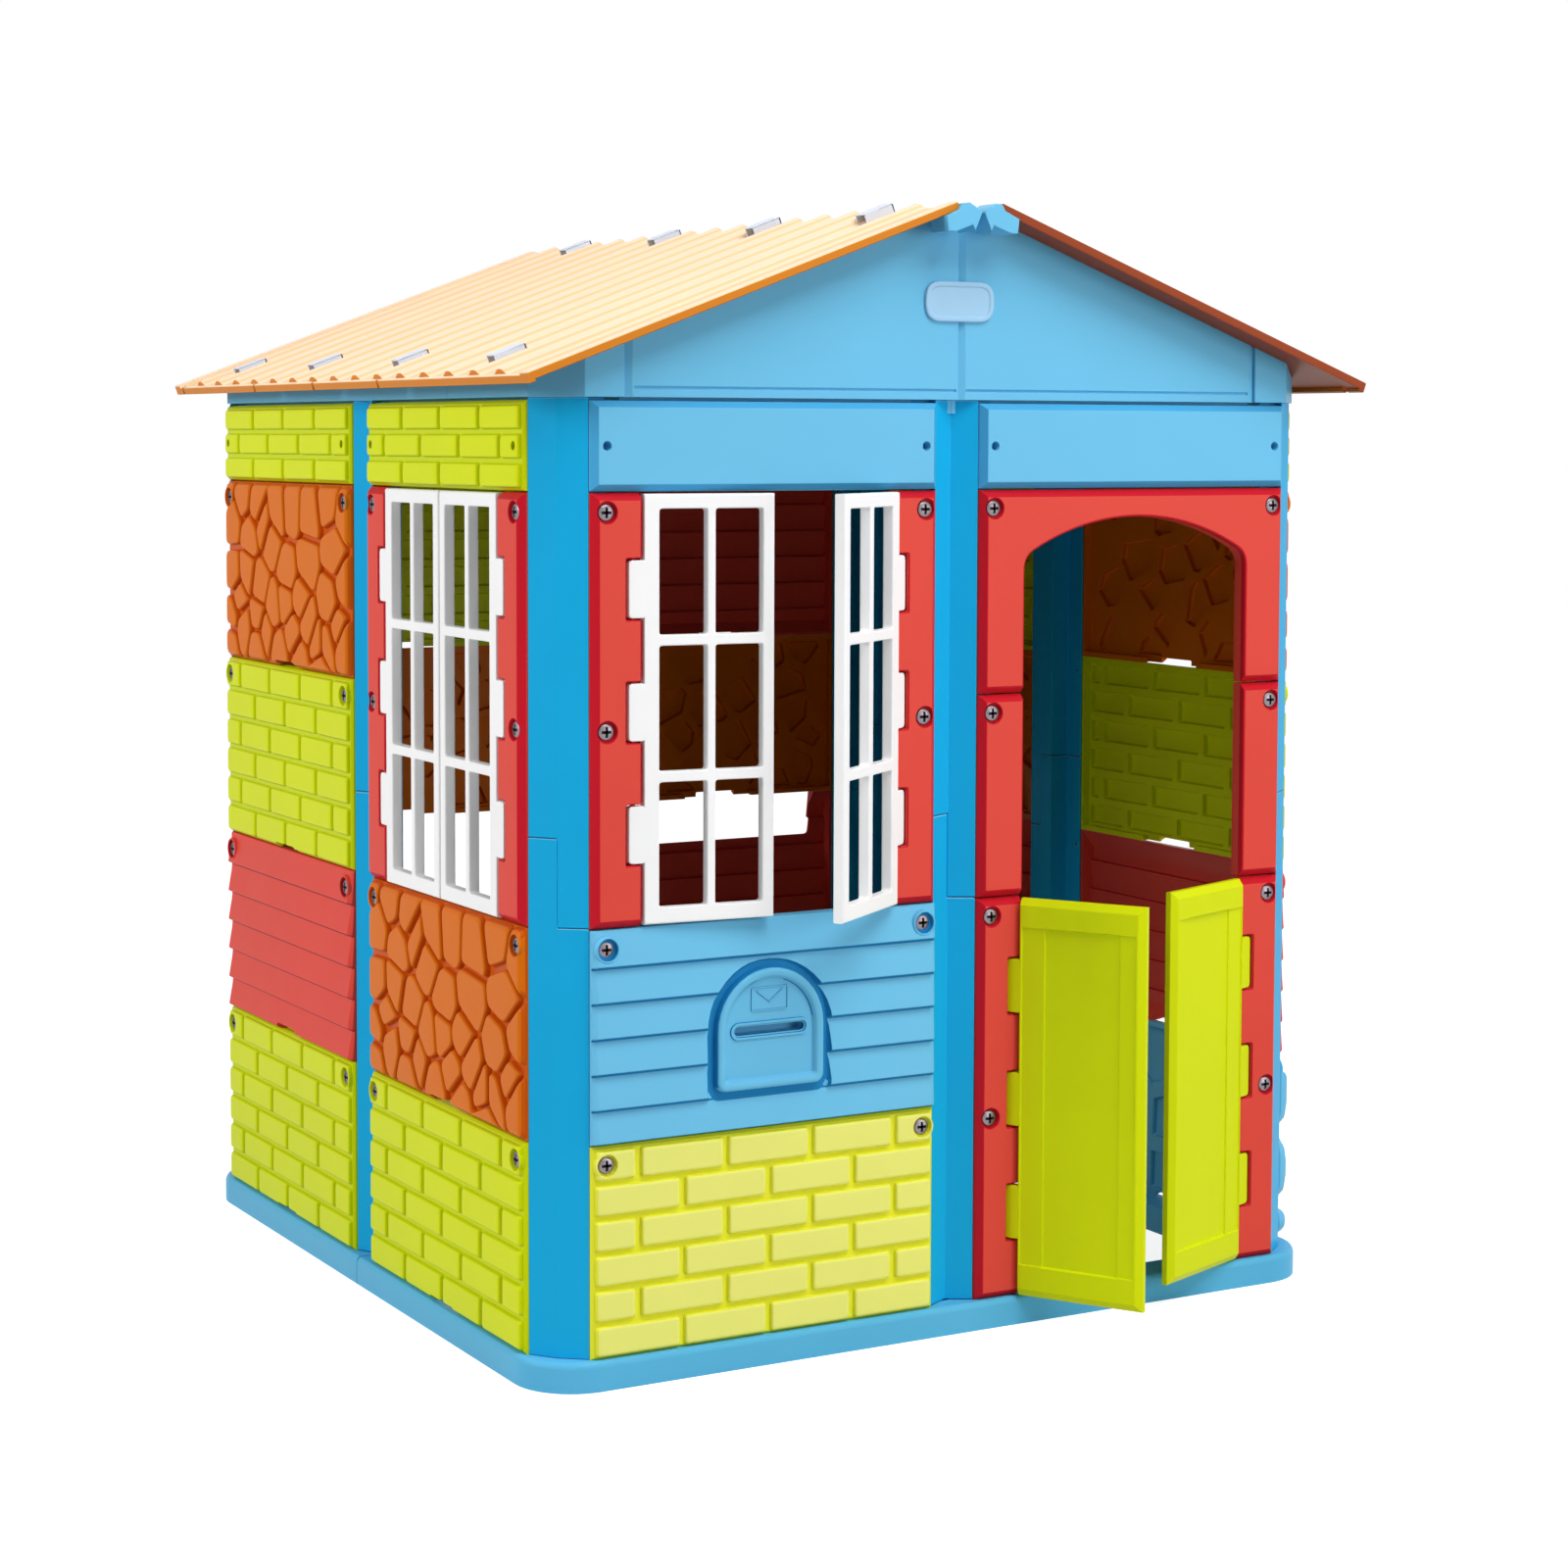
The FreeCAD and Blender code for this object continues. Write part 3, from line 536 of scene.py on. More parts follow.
def clipped(cell, normal, limit, kind):
    kept = []
    for i, (p, own) in enumerate(cell):
        q = cell[(i + 1) % len(cell)][0]
        a, b = p.dot(normal) - limit, q.dot(normal) - limit
        if a <= 0:
            kept.append((p, own))
        if (a < 0 < b) or (b < 0 < a):
            kept.append((p + (q - p) * (a / (a - b)), kind if a < 0 else own))
    return kept


stone = {
    "slope": 3.6, "flat": 0.7, "vary": 3.4, "radius": 8, "mortar": 0.4, "edge": 8, "proud": 8,
    "spots": (
        (30, 190), (72, 226), (128, 214), (262, 212), (392, 226), (98, 172), (183, 168), (152, 190),
        (204, 206), (33, 118), (85, 122), (138, 104), (244, 128), (190, 76), (314, 142), (412, 160),
        (392, 94), (24, 58), (72, 46), (18, 22), (126, 22), (160, 44), (210, 22), (260, 48), (318, 62),
        (288, 12), (382, 36), (442, 44), (362, 8), (446, 118), (236, 84), (290, 92), (424, 62), (352, 36),
        (128, 62), (56, 84), (322, 208), (450, 208), (4, 240)),
}


def stonePanel(height, look):
    seeds = [Vector(spot) for spot in look["spots"]]
    edge, base, s, top = look["edge"], panel["margin"], look["slope"], look["proud"]

    def draw(form):
        plate(form, height, look["mortar"], 3)
        for seed in seeds:
            side = base + edge
            sides = rectangle(side, side, panel["width"] - 2 * side, height - 2 * side)
            cell = [(p, edge / s) for p in sides]
            for other in seeds:
                if other is seed:
                    continue
                away = (other - seed).normalized()
                apart = look["flat"] + look["vary"] * sin(seed.dot(other)) ** 2
                limit = away.dot((seed + other) / 2) - apart - s
                cell = clipped(cell, away, limit, 1)
                if len(cell) < 3:
                    break
            # Corners that nearly meet are merged.
            tidy = [
                (p, kind) for i, (p, kind) in enumerate(cell)
                if (cell[(i + 1) % len(cell)][0] - p).length > panel["merge"]]
            if len(tidy) < 3:
                continue
            loop = [p for p, kind in tidy]
            kinds = [kind for p, kind in tidy]
            rise = top - look["mortar"]
            block(form, loop, [
                (-s, look["mortar"] - 2), (-s * 0.96, look["mortar"] + 0.1 * rise), (-s * 0.62, top - 0.34 * rise),
                (-s * 0.26, top - 0.08 * rise), (0, top)], look["radius"], kinds)
            if all(panel["within"] < p.x < panel["width"] - panel["within"] for p in loop):
                loops.append(inset(loop, [-s * 0.5] * len(loop)))
        collars(form, height)
    loops = []
    front = blank(draw)
    return trimmed(hollowed(front, height, loops, True), screwSeats(height))


rock = {
    "slope": 12, "flat": 1.5, "vary": 1, "radius": 28, "mortar": 2, "edge": 11, "proud": 21,
    "spots": (
        (46, 190), (150, 224), (262, 196), (372, 214), (440, 178), (46, 88), (146, 136), (236, 112), (330, 116),
        (424, 100), (46, -4), (140, 40), (236, 34), (338, 36), (432, 30)),
}


lap = {"rim": 30, "skin": 3.5, "boards": 6, "lip": 8, "heel": 1.4, "ramp": 6, "start": -0.5, "step": 40.85}


def sidingGrid(height, hollow=True):
    # Lapped boards as a fine grid: each lower lip stands out, the ends slope back to the edge.
    wide, ramp = panel["width"], lap["ramp"]
    xs = [0, 0.8, 2.4, 4.2, ramp - 0.8, ramp, ramp + 1.2, lap["rim"], lap["rim"] + 1.5]
    xs = xs + [wide * k / 8 for k in range(1, 8)] + [wide - x for x in reversed(xs)]
    step = lap["step"]
    rows = [(0, 0)]
    for k in range(lap["boards"]):
        z = lap["start"] + k * step if k else 1
        if k:
            rows += [(z - 3, lap["heel"] + 0.1), (z - 0.8, lap["heel"] + 0.2), (z, lap["lip"] - 2.2)]
        rows += [(z + 0.35, lap["lip"] - 1.1), (z + 1.2, lap["lip"] - 0.25), (z + 2.4, lap["lip"])]
        rows += [(z + step * 0.5, (lap["lip"] + lap["heel"]) / 2 + 0.3)]
    rows += [(height - 2.4, lap["heel"] + 0.4), (height - 0.8, lap["heel"] - 0.8), (height, 0)]
    risen = {x: 0.3 + 0.7 * min(1, max(0, min(x, wide - x) / ramp)) ** 0.8 for x in xs}
    thin = {x for x in xs if lap["rim"] < x < wide - lap["rim"]}

    def draw(form):
        front, back = [], []
        for j, (z, out) in enumerate(rows):
            behind = z + {0: -0.9, len(rows) - 1: 0.9}.get(j, 0)
            front.append(points(form, [(x, -out * risen[x], z) for x in xs]))
            inner = lap["skin"] - out if hollow and panel["edge"] < z < height - panel["edge"] else panel["depth"]
            back.append(points(form, [(x, inner if x in thin else panel["depth"], behind) for x in xs]))
        for grid in (front, back):
            for low, high in zip(grid, grid[1:]):
                for i in range(len(xs) - 1):
                    form.faces.new((low[i], low[i + 1], high[i + 1], high[i]))
        rim = [(0, i) for i in range(len(xs))] + [(j, len(xs) - 1) for j in range(1, len(rows))]
        rim += [(len(rows) - 1, i) for i in reversed(range(len(xs) - 1))]
        rim += [(j, 0) for j in reversed(range(1, len(rows) - 1))]
        for (j, i), (m, n) in zip(rim, rim[1:] + rim[:1]):
            form.faces.new((front[j][i], front[m][n], back[m][n], back[j][i]))
        collars(form, height)
    return blank(draw)


def sidingPanel(height):
    return trimmed(sidingGrid(height), screwSeats(height))


def passPanel(height):
    # Its top is cut away between the ends, for passing things through.
    return trimmed(sidingPanel(height), blank(block, rectangle(*panel["passGap"]), [(0, -30), (0, 30)], 6))


def placed(wall, node, along=0):
    # Where a flat-drawn panel stands: its lower left corner and the way it faces.
    lo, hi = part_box(node)
    out = (panel["rockProud"] if "rock" in node else panel["proud"]) * mm
    corner, angle = {
        "front": ((lo.x, lo.y + out), 0), "right": ((hi.x - out, lo.y), 90),
        "back": ((hi.x, hi.y - out), 180), "left": ((lo.x + out, hi.y), -90)}[wall]
    stand = Matrix.Translation((corner[0], corner[1], lo.z)) @ Matrix.Rotation(radians(angle), 4, "Z")
    return stand @ Matrix.Translation((along * mm, 0, 0))


def assembled(name, parts):
    # Copies of flat-drawn meshes, each in its own place, as one piece.
    form = bmesh.new()
    for mesh, place in parts:
        first = len(form.verts)
        form.from_mesh(mesh)
        form.verts.ensure_lookup_table()
        bmesh.ops.transform(form, matrix=place, verts=form.verts[first:])
    mesh = bpy.data.meshes.new(name)
    form.to_mesh(mesh)
    form.free()
    return newObject(name, mesh)


def inSeat(x, z, out):
    # Within the well of a screw.
    near = min(hypot(x - a, z - panel["height"] + panel["screwDown"])
               for a in screwSides)
    return near < panel["recess"] + 0.9 and out < 7.2


def underLap(x, z, out, way):
    # Painted shade: the strip below each board's lip, the faces that look down, and the wells.
    below = (z - lap["start"]) % lap["step"] > lap["step"] - 3.2 and out < lap["lip"] - 2 and 20 < z < 230
    return below or way.z < -0.6 or inSeat(x, z, out)


# The bevels and the screw wells, which take a painted shade.
def bevelled(x, z, out, way):
    return -0.92 < way.y < -0.2 or inSeat(x, z, out)


# Painted shade: a darker colour between bricks and stones, in the rock's grooves, under the laps, in the wells and
# on the bevels.
shadeMarks = {
    "brick": ("lime_mortar_shade", lambda x, z, out, way: out < 6.9), "rock": ("panel_shade_mid", lambda x, z, out, way: out < 5),
    "stone": ("orange_groove_shade", lambda x, z, out, way: out < 3.4 or inSeat(x, z, out)),
    "siding": ("red_lap_shade", underLap), "front_top": ("panel_shade_mid", bevelled),
}


def paintShade(piece, node, wall, paint, test):
    # Faces that pass the test take a painted shade; the test is on a face's place and direction in the flat
    # drawing, outer side only.
    local = placed(wall, node).inverted()
    spin = local.to_3x3()

    def outside(face):
        spot, way = local @ face.center / mm, spin @ face.normal
        return way.y < 0.3 and spot.y < 1 and test(spot.x, spot.z, -spot.y, way)
    toned(piece, paint, outside)


def wallPanel(node, mesh, shifts=(0,)):
    # A piece's name starts with its wall.
    wall = node.split("_")[0]
    piece = settle(assembled(node + "_fine", [(mesh, placed(wall, node, shift)) for shift in shifts]), node)
    for word, (paint, test) in shadeMarks.items():
        if word in node:
            # The front brick panel's mortar takes the warm lime, a painted shade without the sheen painted on its
            # faces.
            paintShade(piece, node, wall, "lime_front_mortar_shade" if node == "front_brick_panel" else paint, test)
            break


flat = {
    "brick": brickPanel(panel["height"], 6, True), "short": brickPanel(panel["topHeight"], 3, False),
    "stone": stonePanel(panel["height"], stone), "siding": sidingPanel(panel["height"]),
    "plain": barePanel(panel["topHeight"]), "frontBrick": brickPanel(panel["height"], 6, True, False),
    "rock": stonePanel(panel["height"], rock), "pass": passPanel(panel["height"]),
}
print("panel patterns drawn")
patternOf = {
    "brick": (
        "left_back_brick_lower", "left_back_brick_upper", "left_front_brick", "right_front_brick",
        "right_back_brick_lower", "right_back_brick_upper", "back_brick_lower", "back_brick_upper"),
    "stone": (
        "left_back_stone", "left_front_stone", "right_front_stone", "right_back_stone", "back_stone_right",
        "back_stone_left"),
    "siding": ("left_back_siding", "right_front_siding", "right_back_siding", "back_siding_upper"),
    "plain": ("front_top_panel_left", "front_top_panel_right"), "frontBrick": ("front_brick_panel",),
    "rock": ("right_front_rock",), "pass": ("back_pass_siding",),
}
for pattern, nodes in patternOf.items():
    for node in nodes:
        wallPanel(node, flat[pattern])
for wall in ("left", "right", "back"):
    wallPanel(wall + "_top_bricks", flat["short"], (0, panel["bay"]))
print("wall panels placed")

# The mailbox: an arched plate with a raised rim, in a groove cut into the boards.
mail = {
    "hollow": (168, 32, 117), "plate": (143, 46, 117), "rim": 12.5, "corner": 14, "proud": 11, "field": 4.4,
    "slot": (94, 10), "slotLevel": 115, "envelope": (48, 27), "envelopeLevel": 151, "line": 1.1,
    "shade": 88, "ring": 69.5, "lines": (58, 60, 172),
}


def archLoop(width, floor, spring, corner, grow=0, steps=20):
    # Straight sides, rounded lower corners and a half-round top; counter-clockwise.
    mid, half, low = panel["width"] / 2, width / 2 + grow, floor - grow + corner
    left, right = mid - half + corner, mid + half - corner
    feet = arc(left, low, corner, pi, pi / 2, 6) + arc(right, low, corner, 1.5 * pi, pi / 2, 6)
    return feet + arc(mid, spring, half, 0, pi, steps)


def pill(width, height, z, steps=8):
    mid, r = panel["width"] / 2, height / 2
    return arc(mid + width / 2 - r, z, r, -pi / 2, pi, steps) + arc(mid - width / 2 + r, z, r, pi / 2, pi, steps)


def ridge(form, line, half, top, floor, closed=False):
    # A low rounded line that stands out of the field, along the given points.
    count = len(line)
    rings = []
    for i, here in enumerate(line):
        before = line[i - 1] if closed or i else here
        after = line[(i + 1) % count] if closed or i + 1 < count else here
        way = ((here - before).normalized() + (after - here).normalized()).normalized()
        side = Vector((-way.y, way.x))
        stretch = 1 / max(0.4, way.dot((after - here).normalized() if after != here else way))
        rings.append([
            (here.x + side.x * a * stretch, -out, here.y + side.y * a * stretch)
            for a, out in (
                (-half, floor), (-half * 0.6, top - 0.25), (0, top), (half * 0.6, top - 0.25), (half, floor))])
    rows = [points(form, ring) for ring in rings]
    turns = range(count) if closed else range(count - 1)
    for i in turns:
        a, b = rows[i], rows[(i + 1) % count]
        for k in range(5):
            j = (k + 1) % 5
            form.faces.new((a[k], a[j], b[j], b[k]))
    if not closed:
        form.faces.new(rows[0])
        form.faces.new(rows[-1])


def mailboxPanel(height):
    width, floor, spring = mail["hollow"]

    rings = [(0.8, 20), (0.8, 8.6), (-0.6, 7.4), (-2.2, 3), (-5, 0.6)]
    groove = blank(stack, [lift(archLoop(width, floor, spring, mail["corner"], grow), out) for grow, out in rings])
    boards = trimmed(sidingGrid(height, False), groove)
    boards = trimmed(boards, screwSeats(height, False))
    width, floor, spring = mail["plate"]
    rim, top, field = mail["rim"], mail["proud"], mail["field"]

    rings = [(0.6, -2), (0.4, 1.2), (0, 5), (-0.8, top - 2), (-2.6, top - 0.4), (-4.6, top), (-rim + 4, top - 0.2)]
    rings += [(-rim + 1.6, top - 1.6), (-rim, field + 1.2), (-rim - 1.2, field)]
    door = blank(stack, [
        lift(archLoop(width, floor, spring, max(mail["corner"] - 2 + grow, 3), grow), out) for grow, out in rings])
    slot = [lift(pill(*mail["slot"], mail["slotLevel"]), out) for out in (2 - panel["depth"], 20)]
    door, boards = trimmed(door, blank(stack, slot)), trimmed(boards, blank(stack, slot))

    def lines(form):
        wide, high = mail["slot"]
        around = pill(wide + 7, high + 7, mail["slotLevel"])
        ridge(form, around, 2.2, field + 2.2, field - 0.5, True)
        mid, z = panel["width"] / 2, mail["envelopeLevel"]
        w, h = mail["envelope"][0] / 2, mail["envelope"][1] / 2
        box = softened(rectangle(mid - w, z - h, 2 * w, 2 * h), 2)
        ridge(form, box, mail["line"], field + 1.4, field - 0.5, True)
        flap = [Vector((mid + w * a, z + h * b)) for a, b in ((-0.72, 0.72), (0, -0.25), (0.72, 0.72))]
        ridge(form, flap, mail["line"], field + 1.4, field - 0.5)
    return [boards, door, blank(lines)]


def aroundDoor(x, z, out, way):
    # The faces that take painted shade: the groove about the plate, the sides of the raised lines, and what lies
    # under the laps.
    across = abs(x - panel["width"] / 2)
    spring = mail["hollow"][2]
    reach = hypot(across, z - spring) if z > spring else max(across, (spring - z) * 0.96)
    if reach > mail["shade"]:
        return underLap(x, z, out, way)
    half, low, high = mail["lines"]
    steep = mail["field"] + 0.1 < out < mail["field"] + 2.3 and way.y > -0.93
    return (steep and across < half and low < z < high) or out < 1.3 or (
        reach > mail["ring"] and out < 7.4 and way.y > -0.8)


mailbox = settle(assembled("mailbox_panel_fine", [
    (mesh, placed("front", "mailbox_panel")) for mesh in mailboxPanel(panel["height"])]), "mailbox_panel")
# The groove about the plate, the sides of the raised lines and the strips under the laps take a painted shade.
paintShade(mailbox, "mailbox_panel", "front", "panel_groove_shade", aroundDoor)
print("mailbox drawn")

# Jambs and the arch: bevelled outside, rounded towards the opening.
jamb = {
    "width": 62, "tall": 494, "slope": 8.2, "round": 2.6, "notch": (20, 70), "tabs": (105, 245, 385), "pin": 3,
    "hinge": 53, "pinLevel": 1, "spring": 164, "rise": 48,
}


def slab(form, loop, kinds, levels):
    # levels: how far out a ring lies, and how far in for each kind of side.
    stack(form, [lift(inset(loop, [ins[kind] for kind in kinds]), out) for out, ins in levels])


def edged(form, loop, kinds):
    s, r, top = jamb["slope"], jamb["round"], panel["proud"]
    slab(form, loop, kinds, [
        (-panel["depth"], (0, 0)), (-0.4, (0, 0)), (0.2, (0.5, 0)), (top - r, (s - r, 0)),
        (top - r * 0.3, (s - r * 0.3, r * 0.3)), (top, (s + 0.4, r)), (top, (s + 1.6, r + 1.2))])


def jambBar(height, levels, hinged=False):
    def wells(form):
        for level in levels:
            seat(form, panel["screwIn"], level)
    bar = trimmed(blank(edged, rectangle(0, 0, jamb["width"], height), (0, 1, 0, 0)), blank(wells))
    if not hinged:
        return bar
    deep, high = jamb["notch"]

    def notches(form):
        for level in jamb["tabs"]:
            hole = rectangle(jamb["width"] - deep, level - high / 2, deep + 20, high)
            block(form, hole, [(0, -20), (0, panel["proud"] - 1.4), (-1.6, panel["proud"] + 0.2), (-1.6, 20)], 3)
    bar = trimmed(bar, blank(notches))

    def pins(form):
        for level in jamb["tabs"]:
            for low in (level - high / 2 - 1, level + high / 2 - 1.9):
                ring = arc(jamb["hinge"], -jamb["pinLevel"], jamb["pin"], 0, tau, 12)[:-1]
                stack(form, [[(x, y, z) for x, y in ring] for z in (low, low + 2.9)])
    return edited(bar, pins)


def mirroredMesh(mesh, across=0):
    # The same form for the other side, its faces turned outwards again.
    def flip(form):
        for v in form.verts:
            v.co.x = across * mm - v.co.x
        bmesh.ops.reverse_faces(form, faces=form.faces)
    return edited(mesh.copy(), flip)


def archPanel():
    wide, high, side = panel["width"], panel["height"], jamb["width"]
    half = wide / 2 - side
    radius = (half ** 2 + jamb["rise"] ** 2) / (2 * jamb["rise"])
    centre = jamb["spring"] + jamb["rise"] - radius
    reach = asin(half / radius) - 0.05
    crown = arc(wide / 2, centre, radius, pi / 2 + reach, -2 * reach, 26)
    # Where the sides turn into the arch, the corner is rounded off.
    curve = []
    for start, corner, end in (
            (Vector((side, jamb["spring"] - 16)), Vector((side, jamb["spring"] + 1)), crown[0]),
            (crown[-1], Vector((wide - side, jamb["spring"] + 1)), Vector((wide - side, jamb["spring"] - 16)))):
        turn = bend(start, corner, end, 7)
        curve += turn if not curve else crown[1:-1] + turn
    loop = [Vector((0, 0)), Vector((side, 0))] + curve + [
        Vector((wide - side, 0)), Vector((wide, 0)), Vector((wide, high)), Vector((0, high))]
    kinds = [0] + [1] * (len(curve) + 1) + [0, 0, 0, 0]
    return trimmed(blank(edged, loop, kinds), screwSeats(high, False))


seatLevels = (panel["height"] - panel["screwDown"], jamb["tall"] - panel["screwDown"])
hingeBar = jambBar(jamb["tall"], seatLevels, True)
hingeBarFar = mirroredMesh(hingeBar, jamb["width"])
shortBar = jambBar(panel["height"], seatLevels[:1])
plainBar = jambBar(jamb["tall"], seatLevels)
farAway = panel["width"] - jamb["width"]
for wall, node, meshes in (
        ("front", "door_arch", [(archPanel(), 0)]),
        ("front", "middle_jambs", [(shortBar, 0), (mirroredMesh(shortBar, jamb["width"]), farAway)]),
        ("front", "door_jamb_left", [(hingeBar, 0)]), ("front", "door_jamb_right", [(hingeBarFar, 0)]),
        ("front", "window_jamb_left", [(hingeBar, 0)]), ("front", "window_jamb_right", [(hingeBarFar, 0)]),
        ("left", "side_jamb_back", [(hingeBar, 0)]), ("left", "side_jamb_front", [(hingeBarFar, 0)]),
        ("back", "back_jambs", [(plainBar, 0), (mirroredMesh(plainBar, jamb["width"]), farAway)])):
    piece = settle(assembled(node + "_fine", [(mesh, placed(wall, node, along)) for mesh, along in meshes]), node)
    # Bevels, sides and wells of the jambs and the arch take a painted shade.
    paintShade(piece, node, wall, "red_edge_shade", lambda x, z, out, way: out > -0.5 and (
        -0.92 < way.y < -0.2 or (way.y < 0.1 and out < 7.6)))
print("jambs and arch drawn")

# Leaves are drawn from their hinge line, closed, and then swung to where they rest.
leaf = {
    "start": 12, "end": 175, "low": 1.5, "height": 491.5, "thick": 14, "slope": 9, "fall": 6.5, "tab": 66,
    "rails": (40, 36), "stile": 33, "step": 1.9,
}
shutter = {"stiles": (19, 15), "rails": (19, 17), "muntin": 10.5, "bars": (12.5, 12.5), "corner": 4, "edge": 3.2}


def tabs(form):
    half = leaf["thick"] / 2
    for level in jamb["tabs"]:
        loop = rectangle(-half, level - leaf["tab"] / 2, half + leaf["start"] + 3, leaf["tab"])
        block(form, loop, [
            (1.6, -half), (0.5, -half + 0.5), (0, -half + 2), (0, half - 2), (0.5, half - 0.6), (1.8, half)], 5)


def leafBoard(edges):
    # edges: inward amounts and levels of the outer face, given for the free sides and for the hinge side.
    half = leaf["thick"] / 2
    loop = rectangle(leaf["start"], leaf["low"], leaf["end"] - leaf["start"], leaf["height"])
    return blank(slab, loop, (0, 0, 0, 1), [(-half, (1.2, 1.2)), (-half + 1.2, (0, 0))] + edges)


def doorLeaf():
    half, s = leaf["thick"] / 2, leaf["slope"]
    board = leafBoard([
        (half - leaf["fall"], (0, 0)), (half - leaf["fall"] + 0.6, (0.4, 0)), (half - 0.6, (s - 0.8, 0.4)),
        (half, (s, 1.4)), (half, (s + 1.4, 2.8))])
    low, high = leaf["low"] + leaf["rails"][0], leaf["low"] + leaf["height"] - leaf["rails"][1]
    for side in (1, -1):
        for left, right, deep in (
                (leaf["start"] + 3, leaf["end"] - s - 3, leaf["step"]),
                (leaf["start"] + leaf["stile"], leaf["end"] - leaf["stile"], 2 * leaf["step"])):
            loop = rectangle(left, low, right - left, high - low)
            levels = [(0, half - deep), (-0.3 - 0.4 * deep, half + 0.1), (-0.3 - 0.4 * deep, half + 9)]
            board = trimmed(board, blank(block, loop, [(a, side * out) for a, out in levels]))
    return board


def shutterLeaf():
    half, e = leaf["thick"] / 2, shutter["edge"]
    board = leafBoard([
        (half - e, (0, 0)), (half - e * 0.4, (e * 0.25, 0.3)), (half - e * 0.1, (e * 0.6, 0.9)), (half, (e, 2))])
    left, right = leaf["start"] + shutter["stiles"][0], leaf["end"] - shutter["stiles"][1]
    low, high = leaf["low"] + shutter["rails"][0], leaf["low"] + leaf["height"] - shutter["rails"][1]
    wide = (right - left - shutter["muntin"]) / 2
    tall = (high - low - sum(shutter["bars"])) / 3

    def panes(form):
        for across in range(2):
            for up in range(3):
                x, z = left + across * (wide + shutter["muntin"]), low + up * (tall + shutter["bars"][0])
                block(form, rectangle(x, z, wide, tall), [
                    (-1.2, -12), (-1.2, -half + 0.2), (0, -half + 1.6), (0, half - 2.4), (-0.5, half - 0.9),
                    (-1.8, half + 0.2), (-1.8, 12)], shutter["corner"])
    return trimmed(board, blank(panes))


doorBoard, shutterBoard = edited(doorLeaf(), tabs), edited(shutterLeaf(), tabs)
boardOf = {"door": (doorBoard, mirroredMesh(doorBoard)), "shutter": (shutterBoard, mirroredMesh(shutterBoard))}
jointOf = {joint["child"]: joint for joint in frame["joints"]}
for node, joint in jointOf.items():
    onLeftWall = node.startswith("side")
    kind = "door" if "door" in node else "shutter"
    swing = Vector(joint["axis"])
    row = frame["nodes"]["door_jamb_left" if kind == "door" else "window_jamb_left"]
    stand = Matrix.Translation((joint["pos_m"][0], joint["pos_m"][1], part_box(row.name)[0].z))
    stand = stand @ Matrix.Rotation(radians(-joint["range_deg"][0]), 4, swing)
    stand = stand @ Matrix.Rotation(radians(-90 if onLeftWall else 0), 4, "Z")
    mesh = boardOf[kind][0 if swing.z < 0 else 1]
    settle(assembled(node + "_fine", [(mesh, stand)]), node)
print("doors and shutters drawn")

# Repeated parts are set out by node trees.
def partsTree(name, inputs, lay):
    # A tree that lays out one part, makes the copies real and gives them their finish.
    tree = bpy.data.node_groups.new(name, "GeometryNodeTree")
    sockets = [("Geometry", "Geometry"), ("Part", "Object"), ("Finish", "Material")] + inputs
    for label, kind in sockets:
        tree.interface.new_socket(label, in_out="INPUT", socket_type="NodeSocket" + kind)
    tree.interface.new_socket("Geometry", in_out="OUTPUT", socket_type="NodeSocketGeometry")
    make, join = tree.nodes.new, tree.links.new
    given, result = make("NodeGroupInput"), make("NodeGroupOutput")
    part, spread = make("GeometryNodeObjectInfo"), make("GeometryNodeInstanceOnPoints")
    real, coat = make("GeometryNodeRealizeInstances"), make("GeometryNodeSetMaterial")
    join(given.outputs["Part"], part.inputs["Object"])
    join(part.outputs["Geometry"], spread.inputs["Instance"])
    lay(make, join, given, spread)
    join(spread.outputs["Instances"], real.inputs["Geometry"])
    join(real.outputs["Geometry"], coat.inputs["Geometry"])
    join(given.outputs["Finish"], coat.inputs["Material"])
    join(coat.outputs["Geometry"], result.inputs["Geometry"])
    return tree


def layInRow(make, join, given, spread):
    line = make("GeometryNodeMeshLine")
    join(given.outputs["Count"], line.inputs["Count"])
    join(given.outputs["Start"], line.inputs["Start Location"])
    join(given.outputs["Step"], line.inputs["Offset"])
    join(line.outputs["Mesh"], spread.inputs["Points"])


def layOnSpots(make, join, given, spread):
    turn = make("GeometryNodeInputNamedAttribute")
    turn.data_type = "FLOAT_VECTOR"
    turn.inputs["Name"].default_value = "turn"
    join(given.outputs["Geometry"], spread.inputs["Points"])
    join(turn.outputs["Attribute"], spread.inputs["Rotation"])
    join(given.outputs["Size"], spread.inputs["Scale"])


rowTree = partsTree("partsInRow", [("Count", "Int"), ("Start", "Vector"), ("Step", "Vector")], layInRow)
spotTree = partsTree("partsOnSpots", [("Size", "Float")], layOnSpots)


def laidOut(tree, part, base, **values):
    # The tree's result as a plain mesh.
    source, holder = newObject("part", part), newObject("holder", base)
    work = holder.modifiers.new("layout", "NODES")
    work.node_group = tree
    values.update(Part=source)
    for item in tree.interface.items_tree:
        if item.in_out == "INPUT" and item.name in values:
            work[item.identifier] = values[item.name]
    mesh = applied(holder)
    bpy.data.objects.remove(source)
    bpy.data.objects.remove(holder)
    return mesh


# Screws: a domed head with a cross cut into it, down in its well; a dark block in the cross is painted shade.
screw = {
    "head": 10, "dome": 3, "cross": (12.4, 3.4), "deep": 2.2, "sunk": 4.4, "across": (-473, -49, 49, 473),
}


def screwHead():
    r, base = screw["head"], panel["proud"] - screw["sunk"]
    dome = blank(disc, 0, 0, [
        (r * 0.96, base - 1), (r, base), (r * 0.97, base + 0.9), (r * 0.84, base + 1.8), (r * 0.55, base + 2.4),
        (r * 0.2, base + screw["dome"])], 20)
    return trimmed(dome, crossMesh(-screw["deep"], 2))


